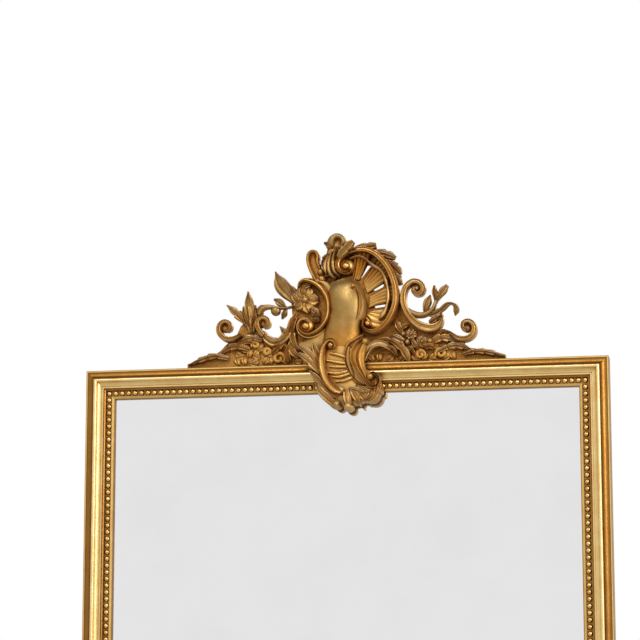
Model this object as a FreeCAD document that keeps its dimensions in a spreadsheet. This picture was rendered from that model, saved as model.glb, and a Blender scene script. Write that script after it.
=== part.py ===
import FreeCAD
import Part
import math
import os
from types import SimpleNamespace

import Sketcher

# A pier mirror: a tall mitred frame of gilded moulding with a pierced crest. Millimetres.
# X runs to the right, Z up, and the front faces -Y. Y is zero at the back of the frame, and
# Z is zero at the hinge line of the two hanging rings, midway between which is the origin.

Vector = FreeCAD.Vector

SIZES = {
    "frame_width": 1040,
    "frame_height": 1620,
    "hanging_height": 1270,
    # The moulding, from the sight edge outward
    "sight_fillet_width": 6,
    "bead_bed_width": 12,
    "quirk_width": 4,
    "inner_fillet_width": 4,
    "hollow_width": 8,
    "torus_width": 7,
    "cove_width": 14,
    "outer_fillet_width": 3,
    # The moulding, forward of the back
    "seat_height": 28,
    "sight_height": 34,
    "sight_fillet_height": 36,
    "bead_bed_height": 33,
    "quirk_height": 37,
    "inner_fillet_height": 42,
    "hollow_height": 44,
    "torus_base_height": 49,
    "cove_top_height": 48,
    "cove_foot_height": 39,
    "outer_fillet_height": 41,
    # Glass, back and joints
    "rebate_width": 12,
    "board_ledge_width": 12,
    "board_thickness": 10,
    "board_gap": 0.8,
    "glass_thickness": 5,
    "glass_lap": 9,
    "block_leg": 9,
    "block_length": 60,
    "bead_radius": 5.6,
    "bead_pitch": 13.2,
    "key_leg": 45,
    "key_thickness": 5,
    "key_back": 14,
    "fit_gap": 0.1,
    "overrun": 20,
    # Screws
    "screw_radius": 2,
    "screw_head_radius": 3.6,
    "screw_head_height": 1.6,
    "screw_bite": 14,
    "crest_screw_bite": 9,
    # Crest
    "crest_rise": 260,
    "batten_thickness": 12,
    "batten_width": 34,
    "batten_overlap": 30,
    "batten_rise": 150,
    "batten_spread": 42,
    "batten_screw_spread": 16,
    "batten_screw_inset": 14,
    "crest_board_thickness": 14,
    "shield_rise": 44,
    "edge_rise": 26,
    "c_scroll_rise": 30,
    "ray_rise": 18,
    "rosette_rise": 20,
    "bud_rise": 28,
    "horn_rise": 26,
    "outer_scroll_rise": 24,
    "spray_rise": 13,
    "leaf_rise": 18,
    "acanthus_rise": 22,
    "flower_rise": 17,
    "ground_rise": 8,
    "stack_gap": 0.2,
    "pendant_gap": 0.3,
    "pendant_base_thickness": 8,
    "pendant_scroll_rise": 20,
    "pendant_rib_rise": 10,
    "pendant_leaf_rise": 14,
    # Hanging hardware
    "hanger_inset": 17,
    "strap_width": 14,
    "strap_length": 66,
    "strap_thickness": 2.5,
    "strap_screw_drop": 18,
    "strap_screw_pitch": 36,
    "hinge_height": 5.6,
    "knuckle_radius": 4.6,
    "ring_wire_radius": 2.5,
    "ring_half_width": 13.5,
    "ring_corner_radius": 4,
    "ring_drop": 40,
    "hanger_bite": 16,
    "bumper_radius": 12,
    "bumper_thickness": 11,
    "bumper_rise": 60,
}

BOARD_COUNT = 5
BLOCKS_ACROSS = 3
BLOCKS_DOWN = 4


class Size:
    """A length of the sheet, or a sum of such lengths, with the text that binds it."""

    def __init__(self, value, text):
        self.value = value
        self.text = text

    def __float__(self):
        return self.value

    def __add__(self, other):
        other = as_size(other)
        return Size(self.value + other.value, f"({self.text} + {other.text})")

    def __sub__(self, other):
        other = as_size(other)
        return Size(self.value - other.value, f"({self.text} - {other.text})")

    def __mul__(self, share):
        share = as_size(share)
        return Size(self.value * share.value, f"({self.text} * {share.text})")

    def __truediv__(self, share):
        share = as_size(share)
        return Size(self.value / share.value, f"({self.text} / {share.text})")

    def __neg__(self):
        return Size(-self.value, f"(-1 * {self.text})")


def as_size(item):
    if isinstance(item, Size):
        return item
    return Size(float(item), f"({float(item)})")


doc = FreeCAD.newDocument("pier_mirror")
sheet = doc.addObject("Spreadsheet::Sheet", "sizes")
for row, (name, value) in enumerate(SIZES.items(), 1):
    sheet.set(f"A{row}", name)
    sheet.set(f"B{row}", str(value))
    sheet.setAlias(f"B{row}", name)
doc.recompute()
S = SimpleNamespace(**{name: Size(float(sheet.get(name)), f"sizes.{name}") for name in SIZES})
ZERO = as_size(0)
NODES = []


# Helpers for bodies, sketches and bound primitives

def bind(item, path, size):
    size = as_size(size)
    item.setExpression(path, size.text)


def locate(item, x, y, z, turn=None):
    x, y, z = as_size(x), as_size(y), as_size(z)
    item.Placement = FreeCAD.Placement(Vector(x.value, y.value, z.value), turn or FreeCAD.Rotation())
    bind(item, "Placement.Base.x", x)
    bind(item, "Placement.Base.y", y)
    bind(item, "Placement.Base.z", z)


def keep(item, name):
    item.Label = name
    NODES.append(item)
    return item


def sketch_on(body, name, role, offset=None):
    sketch = body.newObject("Sketcher::SketchObject", name)
    plane = next(item for item in body.Origin.OriginFeatures if item.Role == role)
    sketch.AttachmentSupport = [(plane, "")]
    sketch.MapMode = "FlatFace"
    if offset is not None:
        sketch.AttachmentOffset = FreeCAD.Placement(Vector(0, 0, offset.value), FreeCAD.Rotation())
        bind(sketch, "AttachmentOffset.Base.z", offset)
    return sketch


def pin(sketch, geometry, end, x, y):
    for kind, size in (("DistanceX", as_size(x)), ("DistanceY", as_size(y))):
        index = sketch.addConstraint(Sketcher.Constraint(kind, -1, 1, geometry, end, size.value))
        bind(sketch, f"Constraints[{index}]", size)


def draw_loop(sketch, corners):
    """A closed outline. A corner with four values starts an arc through its second pair."""
    up = Vector(0, 0, 1)
    at = [Vector(float(corner[0]), float(corner[1]), 0) for corner in corners]
    sides = []
    for index, corner in enumerate(corners):
        start = at[index]
        end = at[(index + 1) % len(at)]
        if len(corner) == 2:
            side = sketch.addGeometry(Part.LineSegment(start, end))
            sides.append((side, 1, 2))
            continue
        through = Vector(float(corner[2]), float(corner[3]), 0)
        arc = Part.Arc(start, through, end).toShape().Curve
        forward = (through - start).cross(end - through).z > 0
        first, last = (start, end) if forward else (end, start)
        begin = math.atan2(first.y - arc.Center.y, first.x - arc.Center.x)
        finish = math.atan2(last.y - arc.Center.y, last.x - arc.Center.x)
        if finish <= begin:
            finish += 2 * math.pi
        side = sketch.addGeometry(Part.ArcOfCircle(Part.Circle(arc.Center, up, arc.Radius), begin, finish))
        sides.append((side, 1, 2) if forward else (side, 2, 1))
    for index, (side, start, end) in enumerate(sides):
        after, after_start, after_end = sides[(index + 1) % len(sides)]
        sketch.addConstraint(Sketcher.Constraint("Coincident", side, end, after, after_start))
    for (side, start, end), corner in zip(sides, corners):
        pin(sketch, side, start, corner[0], corner[1])
        if len(corner) == 4:
            through = Vector(float(corner[2]), float(corner[3]), 0)
            mark = sketch.addGeometry(Part.Point(through), True)
            pin(sketch, mark, 1, corner[2], corner[3])
            sketch.addConstraint(Sketcher.Constraint("PointOnObject", mark, 1, side))


def draw_circles(sketch, centres, radius):
    for x, y in centres:
        place = Vector(float(x), float(y), 0)
        circle = sketch.addGeometry(Part.Circle(place, Vector(0, 0, 1), float(radius)))
        pin(sketch, circle, 3, x, y)
        index = sketch.addConstraint(Sketcher.Constraint("Radius", circle, float(radius)))
        bind(sketch, f"Constraints[{index}]", radius)


def pad(body, sketch, length, centred=False):
    feature = body.newObject("PartDesign::Pad", f"{sketch.Name}_pad")
    feature.Profile = sketch
    bind(feature, "Length", length)
    if centred:
        feature.SideType = "Symmetric"
    sketch.Visibility = False
    return feature


def pocket(body, sketch, depth=None):
    """Cut away from a sketch: forward to the given depth, or right through both ways."""
    feature = body.newObject("PartDesign::Pocket", f"{sketch.Name}_cut")
    feature.Profile = sketch
    if depth is None:
        feature.Type = "ThroughAll"
        feature.SideType = "Symmetric"
    else:
        feature.Reversed = True
        bind(feature, "Length", depth)
    sketch.Visibility = False
    return feature


def box(name, length, width, height, x, y, z):
    item = doc.addObject("Part::Box", name)
    bind(item, "Length", length)
    bind(item, "Width", width)
    bind(item, "Height", height)
    locate(item, x, y, z)
    return item


def rod(name, radius, length, x, y, z, turn):
    item = doc.addObject("Part::Cylinder", name)
    bind(item, "Radius", radius)
    bind(item, "Height", length)
    locate(item, x, y, z, turn)
    return item


TO_FRONT = FreeCAD.Rotation(Vector(1, 0, 0), 90)
TO_BACK = FreeCAD.Rotation(Vector(1, 0, 0), -90)
TO_RIGHT = FreeCAD.Rotation(Vector(0, 1, 0), 90)


# The four moulded members of the frame, mitred and slotted for their corner keys

bead_line = S.sight_fillet_width + S.bead_bed_width / 2
bed_end = S.sight_fillet_width + S.bead_bed_width
quirk_end = bed_end + S.quirk_width
fillet_end = quirk_end + S.inner_fillet_width
hollow_end = fillet_end + S.hollow_width
torus_end = hollow_end + S.torus_width
cove_end = torus_end + S.cove_width
moulding_width = cove_end + S.outer_fillet_width
ledge_end = S.rebate_width + S.board_ledge_width
torus_height = S.torus_base_height + S.torus_width / 2
frame_bottom = -S.hanging_height
frame_top = S.frame_height - S.hanging_height
frame_middle = S.frame_height / 2 - S.hanging_height
half_width = S.frame_width / 2
half_height = S.frame_height / 2
hanger_line = moulding_width - S.hanger_inset
screw_line = S.rebate_width + S.board_ledge_width / 2

COVE_THROUGH_SHARES = (0.3, 0.7)
HOLLOW_THROUGH_SHARES = (0.3, 0.6)
WIDE_COVE_THROUGH_SHARES = (0.22, 0.35)

quirk_through = (
    -(S.quirk_height + (S.inner_fillet_height - S.quirk_height) * COVE_THROUGH_SHARES[0]),
    bed_end + S.quirk_width * COVE_THROUGH_SHARES[1],
)
hollow_through = (
    -(S.hollow_height + (S.torus_base_height - S.hollow_height) * HOLLOW_THROUGH_SHARES[0]),
    fillet_end + S.hollow_width * HOLLOW_THROUGH_SHARES[1],
)
cove_through = (
    -(S.cove_foot_height + (S.cove_top_height - S.cove_foot_height) * WIDE_COVE_THROUGH_SHARES[0]),
    torus_end + S.cove_width * WIDE_COVE_THROUGH_SHARES[1],
)
MOULDING = [
    (ZERO, moulding_width),
    (ZERO, ledge_end),
    (-S.board_thickness, ledge_end),
    (-S.board_thickness, S.rebate_width),
    (-S.seat_height, S.rebate_width),
    (-S.seat_height, ZERO),
    (-S.sight_height, ZERO),
    (-S.sight_fillet_height, S.sight_fillet_width),
    (-S.bead_bed_height, S.sight_fillet_width),
    (-S.bead_bed_height, bed_end),
    (-S.quirk_height, bed_end) + quirk_through,
    (-S.inner_fillet_height, quirk_end),
    (-S.inner_fillet_height, fillet_end),
    (-S.hollow_height, fillet_end) + hollow_through,
    (-S.torus_base_height, hollow_end, -torus_height, hollow_end + S.torus_width / 2),
    (-S.torus_base_height, torus_end),
    (-S.cove_top_height, torus_end) + cove_through,
    (-S.cove_foot_height, cove_end),
    (-S.outer_fillet_height, cove_end),
    (-S.outer_fillet_height, moulding_width),
]


def frame_member(name, length, angle, x, z, holes=(), hole_depth=None, housings=()):
    """One member, drawn as a top rail whose sight edge is on its own X axis, then turned."""
    body = doc.addObject("PartDesign::Body", name)
    section = sketch_on(body, f"{name}_section", "YZ_Plane")
    draw_loop(section, MOULDING)
    pad(body, section, length, centred=True)
    mitres = sketch_on(body, f"{name}_mitres", "XZ_Plane")
    slots = sketch_on(body, f"{name}_key_slots", "XZ_Plane", S.key_back - S.fit_gap)
    reach = S.key_leg + S.fit_gap * 2 + S.overrun
    for side in (-1, 1):
        tip = length * (side / 2)
        out = S.overrun * side
        draw_loop(mitres, [
            (tip + out, moulding_width + S.overrun),
            (tip + out, -S.overrun),
            (tip - (moulding_width + S.overrun) * side, -S.overrun),
        ])
        draw_loop(slots, [
            (tip + out, moulding_width + S.overrun),
            (tip + out, moulding_width - reach),
            (tip - reach * side, moulding_width + S.overrun),
        ])
    pocket(body, mitres)
    pocket(body, slots, S.key_thickness + S.fit_gap * 2)
    for index, middle in enumerate(housings):
        housing = sketch_on(body, f"{name}_housing_{index}", "XZ_Plane")
        reach = S.batten_width / 2 + S.fit_gap
        foot = moulding_width - S.batten_overlap - S.fit_gap
        draw_loop(housing, [
            (middle - reach, foot),
            (middle + reach, foot),
            (middle + reach, moulding_width + S.overrun),
            (middle - reach, moulding_width + S.overrun),
        ])
        pocket(body, housing, S.batten_thickness + S.fit_gap)
    if holes:
        drilled = sketch_on(body, f"{name}_screw_holes", "XZ_Plane")
        draw_circles(drilled, holes, S.screw_radius + S.fit_gap)
        pocket(body, drilled, hole_depth)
    locate(body, x, ZERO, z, FreeCAD.Rotation(Vector(0, 1, 0), angle))
    return keep(body, name)


board_span = S.frame_height - (moulding_width - ledge_end) * 2 - S.board_gap * 2
board_height = (board_span - S.board_gap * (BOARD_COUNT - 1)) / BOARD_COUNT
board_length = S.frame_width - (moulding_width - ledge_end) * 2 - S.board_gap * 2
board_pitch = board_height + S.board_gap
board_middles = [board_pitch * (index - (BOARD_COUNT - 1) / 2) for index in range(BOARD_COUNT)]
SCREW_SHARES = (-0.25, 0.25)
board_rows = [middle + board_height * share for middle in board_middles for share in SCREW_SHARES]
strap_rows = [-S.strap_screw_drop, -(S.strap_screw_drop + S.strap_screw_pitch)]
batten_middles = [-S.batten_spread, S.batten_spread]
batten_holes = [
    (middle + S.batten_screw_spread * share, moulding_width - S.batten_screw_inset)
    for middle in batten_middles
    for share in (-0.5, 0.5)
]

frame_member(
    "top_rail", S.frame_width, 0, ZERO, frame_top - moulding_width,
    batten_holes, S.batten_thickness + S.screw_bite + S.fit_gap, batten_middles,
)
frame_member("bottom_rail", S.frame_width, 180, ZERO, frame_bottom + moulding_width)
for name, side in (("left_stile", -1), ("right_stile", 1)):
    holes = [(row, screw_line) for row in board_rows]
    holes += [((row - frame_middle) * -side, hanger_line) for row in strap_rows]
    frame_member(
        name, S.frame_height, 90 * side, (half_width - moulding_width) * side, frame_middle,
        holes, S.board_thickness + S.screw_bite + S.fit_gap,
    )

# Corner keys: triangular feathers glued into slots across each mitre

keys = []
for across in (-1, 1):
    for up in (-1, 1):
        key = doc.addObject("PartDesign::Body", "corner_key")
        outline = sketch_on(key, "corner_key_outline", "XZ_Plane", S.key_back)
        corner = (half_width * across, frame_middle + half_height * up)
        draw_loop(outline, [
            corner,
            (corner[0] - S.key_leg * across, corner[1]),
            (corner[0], corner[1] - S.key_leg * up),
        ])
        pad(key, outline, S.key_thickness)
        keys.append(key)
corner_keys = doc.addObject("Part::Compound", "corner_keys")
corner_keys.Links = keys
keep(corner_keys, "corner_keys")

# Pearl beads, glued one by one into the bed beside the sight edge

inset = moulding_width - bead_line


def bead_row(name, start, end, ends_too):
    run = end - start
    count = round(run.Length / float(S.bead_pitch))
    steps = range(count + 1) if ends_too else range(1, count)
    front = Vector(0, -1, 0)
    beads = []
    for step in steps:
        place = start + run * (step / count)
        beads.append(Part.makeSphere(float(S.bead_radius), place, front, 0, 90, 360))
    item = doc.addObject("Part::Feature", name)
    item.Shape = Part.makeCompound(beads)
    return keep(item, name)


bead_x = float(half_width - inset)
bead_low = float(frame_bottom + inset)
bead_high = float(frame_top - inset)
bead_y = -float(S.bead_bed_height)
bead_row("top_beads", Vector(-bead_x, bead_y, bead_high), Vector(bead_x, bead_y, bead_high), True)
bead_row("bottom_beads", Vector(-bead_x, bead_y, bead_low), Vector(bead_x, bead_y, bead_low), True)
bead_row("left_beads", Vector(-bead_x, bead_y, bead_low), Vector(-bead_x, bead_y, bead_high), False)
bead_row("right_beads", Vector(bead_x, bead_y, bead_low), Vector(bead_x, bead_y, bead_high), False)

# Mirror plate, its glazing blocks and the five backboards

sight_width = S.frame_width - moulding_width * 2
sight_tall = S.frame_height - moulding_width * 2
plate_width = sight_width + S.glass_lap * 2
plate_tall = sight_tall + S.glass_lap * 2
keep(box(
    "mirror_plate", plate_width, S.glass_thickness, plate_tall,
    -plate_width / 2, -S.seat_height, frame_middle - plate_tall / 2,
), "mirror_plate")

wall_x = sight_width / 2 + S.rebate_width
wall_z = sight_tall / 2 + S.rebate_width
glass_back = -(S.seat_height - S.glass_thickness)


def glazing_block(x, z, angle):
    """A wedge of pine in the corner between the rebate wall and the back of the plate."""
    block = doc.addObject("Part::Wedge", "glazing_block")
    for path, size in (
        ("Xmin", ZERO), ("Xmax", S.block_leg), ("X2min", ZERO), ("X2max", ZERO),
        ("Ymin", ZERO), ("Ymax", S.block_leg),
        ("Zmin", ZERO), ("Zmax", S.block_length), ("Z2min", ZERO), ("Z2max", S.block_length),
    ):
        bind(block, path, size)
    locate(block, x, glass_back, z, FreeCAD.Rotation(Vector(0, 1, 0), angle))
    return block


blocks = []
for index in range(BLOCKS_ACROSS):
    share = (index + 0.5) / BLOCKS_ACROSS - 0.5
    run = sight_width * share
    blocks.append(glazing_block(run - S.block_length / 2, frame_middle + wall_z, 90))
    blocks.append(glazing_block(run + S.block_length / 2, frame_middle - wall_z, -90))
for index in range(BLOCKS_DOWN):
    share = (index + 0.5) / BLOCKS_DOWN - 0.5
    run = frame_middle + sight_tall * share
    blocks.append(glazing_block(-wall_x, run - S.block_length / 2, 0))
    blocks.append(glazing_block(wall_x, run + S.block_length / 2, 180))
glazing_blocks = doc.addObject("Part::Compound", "glazing_blocks")
glazing_blocks.Links = blocks
keep(glazing_blocks, "glazing_blocks")


def screw(x, z, back, length):
    """A countersunk wood screw: a flat head sunk flush and a plain shank, driven from the back."""
    head = rod("screw_head", S.screw_head_radius, S.screw_head_height, x, back, z, TO_FRONT)
    shank = rod("screw_shank", S.screw_radius, length, x, back, z, TO_FRONT)
    item = doc.addObject("Part::MultiFuse", "screw")
    item.Shapes = [head, shank]
    return item


def drill(body, name, holes, offset, depth):
    """Shank holes right through and head recesses, from the back face of a flat piece."""
    through = sketch_on(body, f"{name}_holes", "XZ_Plane", -offset)
    draw_circles(through, holes, S.screw_radius + S.fit_gap)
    pocket(body, through, depth + S.overrun)
    sunk = sketch_on(body, f"{name}_recesses", "XZ_Plane", -offset)
    draw_circles(sunk, holes, S.screw_head_radius + S.fit_gap)
    pocket(body, sunk, S.screw_head_height)


screw_x = half_width - moulding_width + screw_line
board_screws = []
for index, middle in enumerate(board_middles):
    name = f"backboard_{index + 1}"
    body = doc.addObject("PartDesign::Body", name)
    outline = sketch_on(body, f"{name}_outline", "XZ_Plane")
    low = frame_middle + middle - board_height / 2
    high = frame_middle + middle + board_height / 2
    draw_loop(outline, [
        (-board_length / 2, low), (board_length / 2, low),
        (board_length / 2, high), (-board_length / 2, high),
    ])
    pad(body, outline, S.board_thickness)
    holes = [
        (screw_x * side, frame_middle + middle + board_height * share)
        for side in (-1, 1)
        for share in SCREW_SHARES
    ]
    drill(body, name, holes, ZERO, S.board_thickness)
    keep(body, name)
    for x, z in holes:
        board_screws.append(screw(x, z, ZERO, S.board_thickness + S.screw_bite))
backboard_screws = doc.addObject("Part::Compound", "backboard_screws")
backboard_screws.Links = board_screws
keep(backboard_screws, "backboard_screws")

# Crest battens, housed into the back of the top rail, that carry the crest board

BOARD_SCREW_SHARES = (0.35, 0.85)
crest_screws = []
board_back = S.batten_thickness
board_front = S.batten_thickness + S.crest_board_thickness
upper_holes = []
for name, middle in zip(("crest_batten_left", "crest_batten_right"), batten_middles):
    body = doc.addObject("PartDesign::Body", name)
    outline = sketch_on(body, f"{name}_outline", "XZ_Plane")
    reach = S.batten_width / 2
    draw_loop(outline, [
        (middle - reach, frame_top - S.batten_overlap), (middle + reach, frame_top - S.batten_overlap),
        (middle + reach, frame_top + S.batten_rise), (middle - reach, frame_top + S.batten_rise),
    ])
    pad(body, outline, S.batten_thickness)
    lower = [
        (middle + S.batten_screw_spread * share, frame_top - S.batten_screw_inset)
        for share in (-0.5, 0.5)
    ]
    upper = [(middle, frame_top + S.batten_rise * share) for share in BOARD_SCREW_SHARES]
    drill(body, name, lower + upper, ZERO, S.batten_thickness)
    keep(body, name)
    upper_holes += upper
    for x, z in lower:
        crest_screws.append(screw(x, z, ZERO, S.batten_thickness + S.screw_bite))
    for x, z in upper:
        crest_screws.append(screw(x, z, ZERO, S.batten_thickness + S.crest_screw_bite))
screws = doc.addObject("Part::Compound", "crest_screws")
screws.Links = crest_screws
keep(screws, "crest_screws")

# The carved crest. Its outlines are read by eye from the photograph, in pixels across and down:
# the middle of the crest stands on the rail's upper edge at CREST_FOOT_PX, the rail climbs a
# little to the right, and a face nearer the viewer than that edge is seen a little left and high.

CREST_FOOT_PX = (343, 363.6)
CREST_TALL_PX = 130
RAIL_CLIMB_SHARE = 0.0345
LEAN_SHARES = (0.164, 0.212)
scale = float(S.crest_rise) / CREST_TALL_PX
crest_foot = float(frame_top)
level = float(board_front)


def spot(across_px, down_px, seen, proud):
    """The place of a pixel on a face seen at one depth, put at another depth."""
    nearer = seen - float(S.outer_fillet_height)
    along_px = across_px - CREST_FOOT_PX[0]
    up_px = CREST_FOOT_PX[1] - RAIL_CLIMB_SHARE * along_px - down_px
    x = along_px * scale + LEAN_SHARES[0] * nearer
    z = crest_foot + up_px * scale - LEAN_SHARES[1] * nearer
    return Vector(x, -proud, z)


SEEN_SHARE = 0.6


def path_through(points_px, seen):
    curve = Part.BSplineCurve()
    curve.interpolate([spot(u, v, seen, 0) for u, v in points_px])
    return curve


def station(curve, share):
    value = curve.FirstParameter + (curve.LastParameter - curve.FirstParameter) * share
    along = curve.tangent(value)[0]
    return curve.value(value), Vector(-along.z, 0, along.x)


def share_of(values, share):
    """The value at a share of the way along a list, in straight steps."""
    run = share * (len(values) - 1)
    low = min(int(run), len(values) - 2)
    return values[low] + (values[low + 1] - values[low]) * (run - low)


SIDE_SHARE = 0.2


def scroll(points_px, widths_px, back, full_rise, rise_shares=(1, 1)):
    """A carved roll: a flat back, upright sides and a round top, run along a curve."""
    curve = path_through(points_px, back + full_rise * SEEN_SHARE)
    steps = 2 * len(points_px)
    sections = []
    for step in range(steps + 1):
        share = step / steps
        middle, normal = station(curve, share)
        half = share_of(widths_px, share) * scale / 2
        rise = share_of(rise_shares, share) * full_rise
        side = max(rise - half, rise * SIDE_SHARE)
        left = middle - normal * half
        right = middle + normal * half
        foot = Vector(0, -back, 0)
        brow = Vector(0, -back - side, 0)
        crown = middle + Vector(0, -back - rise, 0)
        sections.append(Part.Wire([
            Part.LineSegment(left + foot, right + foot).toShape(),
            Part.LineSegment(right + foot, right + brow).toShape(),
            Part.Arc(right + brow, crown, left + brow).toShape(),
            Part.LineSegment(left + brow, left + foot).toShape(),
        ]))
    return Part.makeLoft(sections, True, False)


def ruled(lower, upper):
    wires = [Part.makePolygon(ring + ring[:1]) for ring in (lower, upper)]
    return Part.makeLoft(wires, True, True)


NOTCH_SHARE = 0.7
LOBE_LEAN_SHARE = 0.3
ROOT_SHARE = 0.15
RIDGE_SHARE = 0.32
RIDGE_START_SHARE = 0.06
RIDGE_END_SHARE = 0.95
SWELL_POWER = 0.75


def leaf(points_px, half_px, lobes, back, rise):
    """A carved leaf: a lobed outline on its back and a narrow ridge along its front."""
    curve = path_through(points_px, back + rise * SEEN_SHARE)
    steps = 2 * lobes
    left, right, left_ridge, right_ridge = [], [], [], []
    for step in range(steps):
        share = step / steps
        if step % 2:
            share += LOBE_LEAN_SHARE / steps
        swell = math.sin(math.pi * (ROOT_SHARE + (1 - ROOT_SHARE) * share)) ** SWELL_POWER
        half = half_px * scale * swell * (1 if step % 2 else NOTCH_SHARE)
        middle, normal = station(curve, share)
        foot = Vector(0, -back, 0)
        top = Vector(0, -back - rise, 0)
        left.append(middle + normal * half + foot)
        right.append(middle - normal * half + foot)
        along = RIDGE_START_SHARE + (RIDGE_END_SHARE - RIDGE_START_SHARE) * share
        inner, normal = station(curve, along)
        left_ridge.append(inner + normal * half * RIDGE_SHARE + top)
        right_ridge.append(inner - normal * half * RIDGE_SHARE + top)
    tip = station(curve, 1)[0] + Vector(0, -back, 0)
    ridge_tip = station(curve, RIDGE_END_SHARE)[0] + Vector(0, -back - rise, 0)
    return ruled(left + [tip] + right[::-1], left_ridge + [ridge_tip] + right_ridge[::-1])


PETAL_SHARES = (1, 1, 0.76, 1)
PETAL_TOP_SHARE = 0.5


def rosette(centre_px, radius_px, petals, back, rise):
    """A flower: a scalloped outline drawn in to a smaller scalloped face."""
    middle = spot(centre_px[0], centre_px[1], back + rise * SEEN_SHARE, 0)
    rings = []
    for reach, proud in ((1, back), (PETAL_TOP_SHARE, back + rise)):
        ring = []
        for step in range(4 * petals):
            angle = 2 * math.pi * step / (4 * petals)
            radius = radius_px * scale * reach * PETAL_SHARES[step % 4]
            ring.append(middle + Vector(radius * math.cos(angle), -proud, radius * math.sin(angle)))
        rings.append(ring)
    return ruled(*rings)


def ball(centre_px, radius_px, back):
    radius = radius_px * scale
    middle = spot(centre_px[0], centre_px[1], back + radius * SEEN_SHARE, back)
    return Part.makeSphere(radius, middle, Vector(0, -1, 0), 0, 90, 360)


def slab(points_px, seen, back, front):
    ring = [spot(u, v, seen, back) for u, v in points_px]
    face = Part.Face(Part.makePolygon(ring + ring[:1]))
    return face.extrude(Vector(0, back - front, 0))


def carved(name, shapes):
    item = doc.addObject("Part::Feature", name)
    item.Shape = shapes[0] if len(shapes) == 1 else Part.makeCompound(shapes)
    return keep(item, name)


def trimmed(shape, against):
    """What is left of a piece that is cut to lie against another."""
    return max(shape.cut(against).Solids, key=lambda solid: solid.Volume)


def joined(shapes):
    whole = shapes[0].multiFuse(shapes[1:]).removeSplitter()
    return whole.Solids[0] if len(whole.Solids) == 1 else whole


# Crest ground board: fret-sawn pine behind the ornament, with the slots of the shell undercut from behind

BOARD_LEFT_PX = [
    (186, 365.4), (200, 361), (212, 357), (220, 351.5), (226, 345), (235, 338), (240, 327), (246, 321),
    (254, 321),
    (258, 331), (264, 338), (272, 342.5), (281, 342), (288, 335), (293, 325), (292, 312), (291, 300),
    (295, 292), (299, 285), (307, 279.5), (316, 276), (326, 275), (331, 264), (338, 258), (351, 250.8),
]
BOARD_RIGHT_PX = [
    (362, 249), (374, 253), (385.4, 261.6), (392, 273.4), (395.5, 288), (396.5, 300), (400, 299),
    (404, 310), (411, 320), (420, 327), (430, 329.5), (440, 328), (448, 333), (456, 338.6),
    (463, 344.6), (470, 348), (482, 349.6), (494, 351.6), (504, 354.4),
]
SLOTS_PX = [
    [(359.6, 279), (367.4, 266), (371.6, 267), (362.6, 278.4)],
    [(367.6, 293.6), (381.2, 284.2), (384.4, 285.4), (383.4, 288), (370, 294.4)],
    [(369.4, 308.8), (377, 305.4), (385.6, 304.6), (385.6, 307.4), (371, 309.8)],
]
UNDERCUT_SHARE = 1.2
foot_left = spot(BOARD_LEFT_PX[0][0], BOARD_LEFT_PX[0][1], level, float(board_back))
foot_right = spot(BOARD_RIGHT_PX[-1][0], BOARD_RIGHT_PX[-1][1], level, float(board_back))
ring = [Vector(foot_left.x, foot_left.y, crest_foot)]
ring += [spot(u, v, level, float(board_back)) for u, v in BOARD_LEFT_PX + BOARD_RIGHT_PX]
ring += [Vector(foot_right.x, foot_right.y, crest_foot)]
board = Part.Face(Part.makePolygon(ring + ring[:1])).extrude(Vector(0, float(board_back - board_front), 0))
over = float(S.overrun)
for slot_px in SLOTS_PX:
    middle_u, middle_v = (sum(values) / len(slot_px) for values in zip(*slot_px))
    wider_px = [
        (middle_u + (u - middle_u) * UNDERCUT_SHARE, middle_v + (v - middle_v) * UNDERCUT_SHARE)
        for u, v in slot_px
    ]
    back_ring = [spot(u, v, float(board_back), float(board_back) - over) for u, v in wider_px]
    front_ring = [spot(u, v, level, level + over) for u, v in slot_px]
    board = board.cut(ruled(back_ring, front_ring))
for x, z in upper_holes:
    start = Vector(float(x), -float(board_back) + over, float(z))
    reach = float(S.crest_screw_bite) + float(S.fit_gap) + over
    board = board.cut(Part.makeCylinder(float(S.screw_radius + S.fit_gap), reach, start, Vector(0, -1, 0)))
carved("crest_ground_board", [board])

# The cartouche: a domed shield with a raised edge, between a C-scroll and the rim of a shell

SHIELD_PX = [(344, 281.5), (346, 290), (346.4, 302), (345.2, 315), (342.6, 327), (340.4, 336), (340, 346)]
SHIELD_WIDTHS_PX = (17, 23.4, 23, 21.6, 22, 30, 60)
SHIELD_RISE_SHARES = (0.42, 0.86, 1, 0.96, 0.8, 0.52, 0.22)
carved("cartouche_shield", [
    scroll(SHIELD_PX, SHIELD_WIDTHS_PX, level, float(S.shield_rise), SHIELD_RISE_SHARES),
])

EDGE_PX = [(361, 288.6), (363, 295.5), (363.4, 303), (362.6, 310), (361.2, 315), (359.6, 319.4)]
EDGE_WIDTHS_PX = (3, 3.2, 3.2, 2.6)
EDGE_BALL_PX = (360.4, 284.2)
EDGE_BALL_RADIUS_PX = 2.6
carved("shield_edge_scroll", [
    scroll(EDGE_PX, EDGE_WIDTHS_PX, level, float(S.edge_rise)),
    ball(EDGE_BALL_PX, EDGE_BALL_RADIUS_PX, level),
])

LEFT_C_PX = [
    (299.4, 285.6), (302, 281.6), (307, 280.6), (314.5, 283.6), (322.2, 290), (327.2, 298.6),
    (329.4, 307.6), (328.4, 317.6), (323.6, 326.8), (316.2, 333.4), (308, 336), (301, 333.2), (298, 327),
    (300, 321.4), (305.6, 319.4), (310.2, 322.6), (308.8, 327.2),
]
LEFT_C_WIDTHS_PX = (4, 5.4, 6.2, 6.4, 6.2, 5.4, 4, 4)
carved("left_c_scroll", [scroll(LEFT_C_PX, LEFT_C_WIDTHS_PX, level, float(S.c_scroll_rise))])
ROSETTE_PX = (304.6, 302.4)
ROSETTE_RADIUS_PX = 10.4
ROSETTE_PETALS = 6
carved("left_rosette", [
    rosette(ROSETTE_PX, ROSETTE_RADIUS_PX, ROSETTE_PETALS, level, float(S.rosette_rise)),
])

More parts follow.
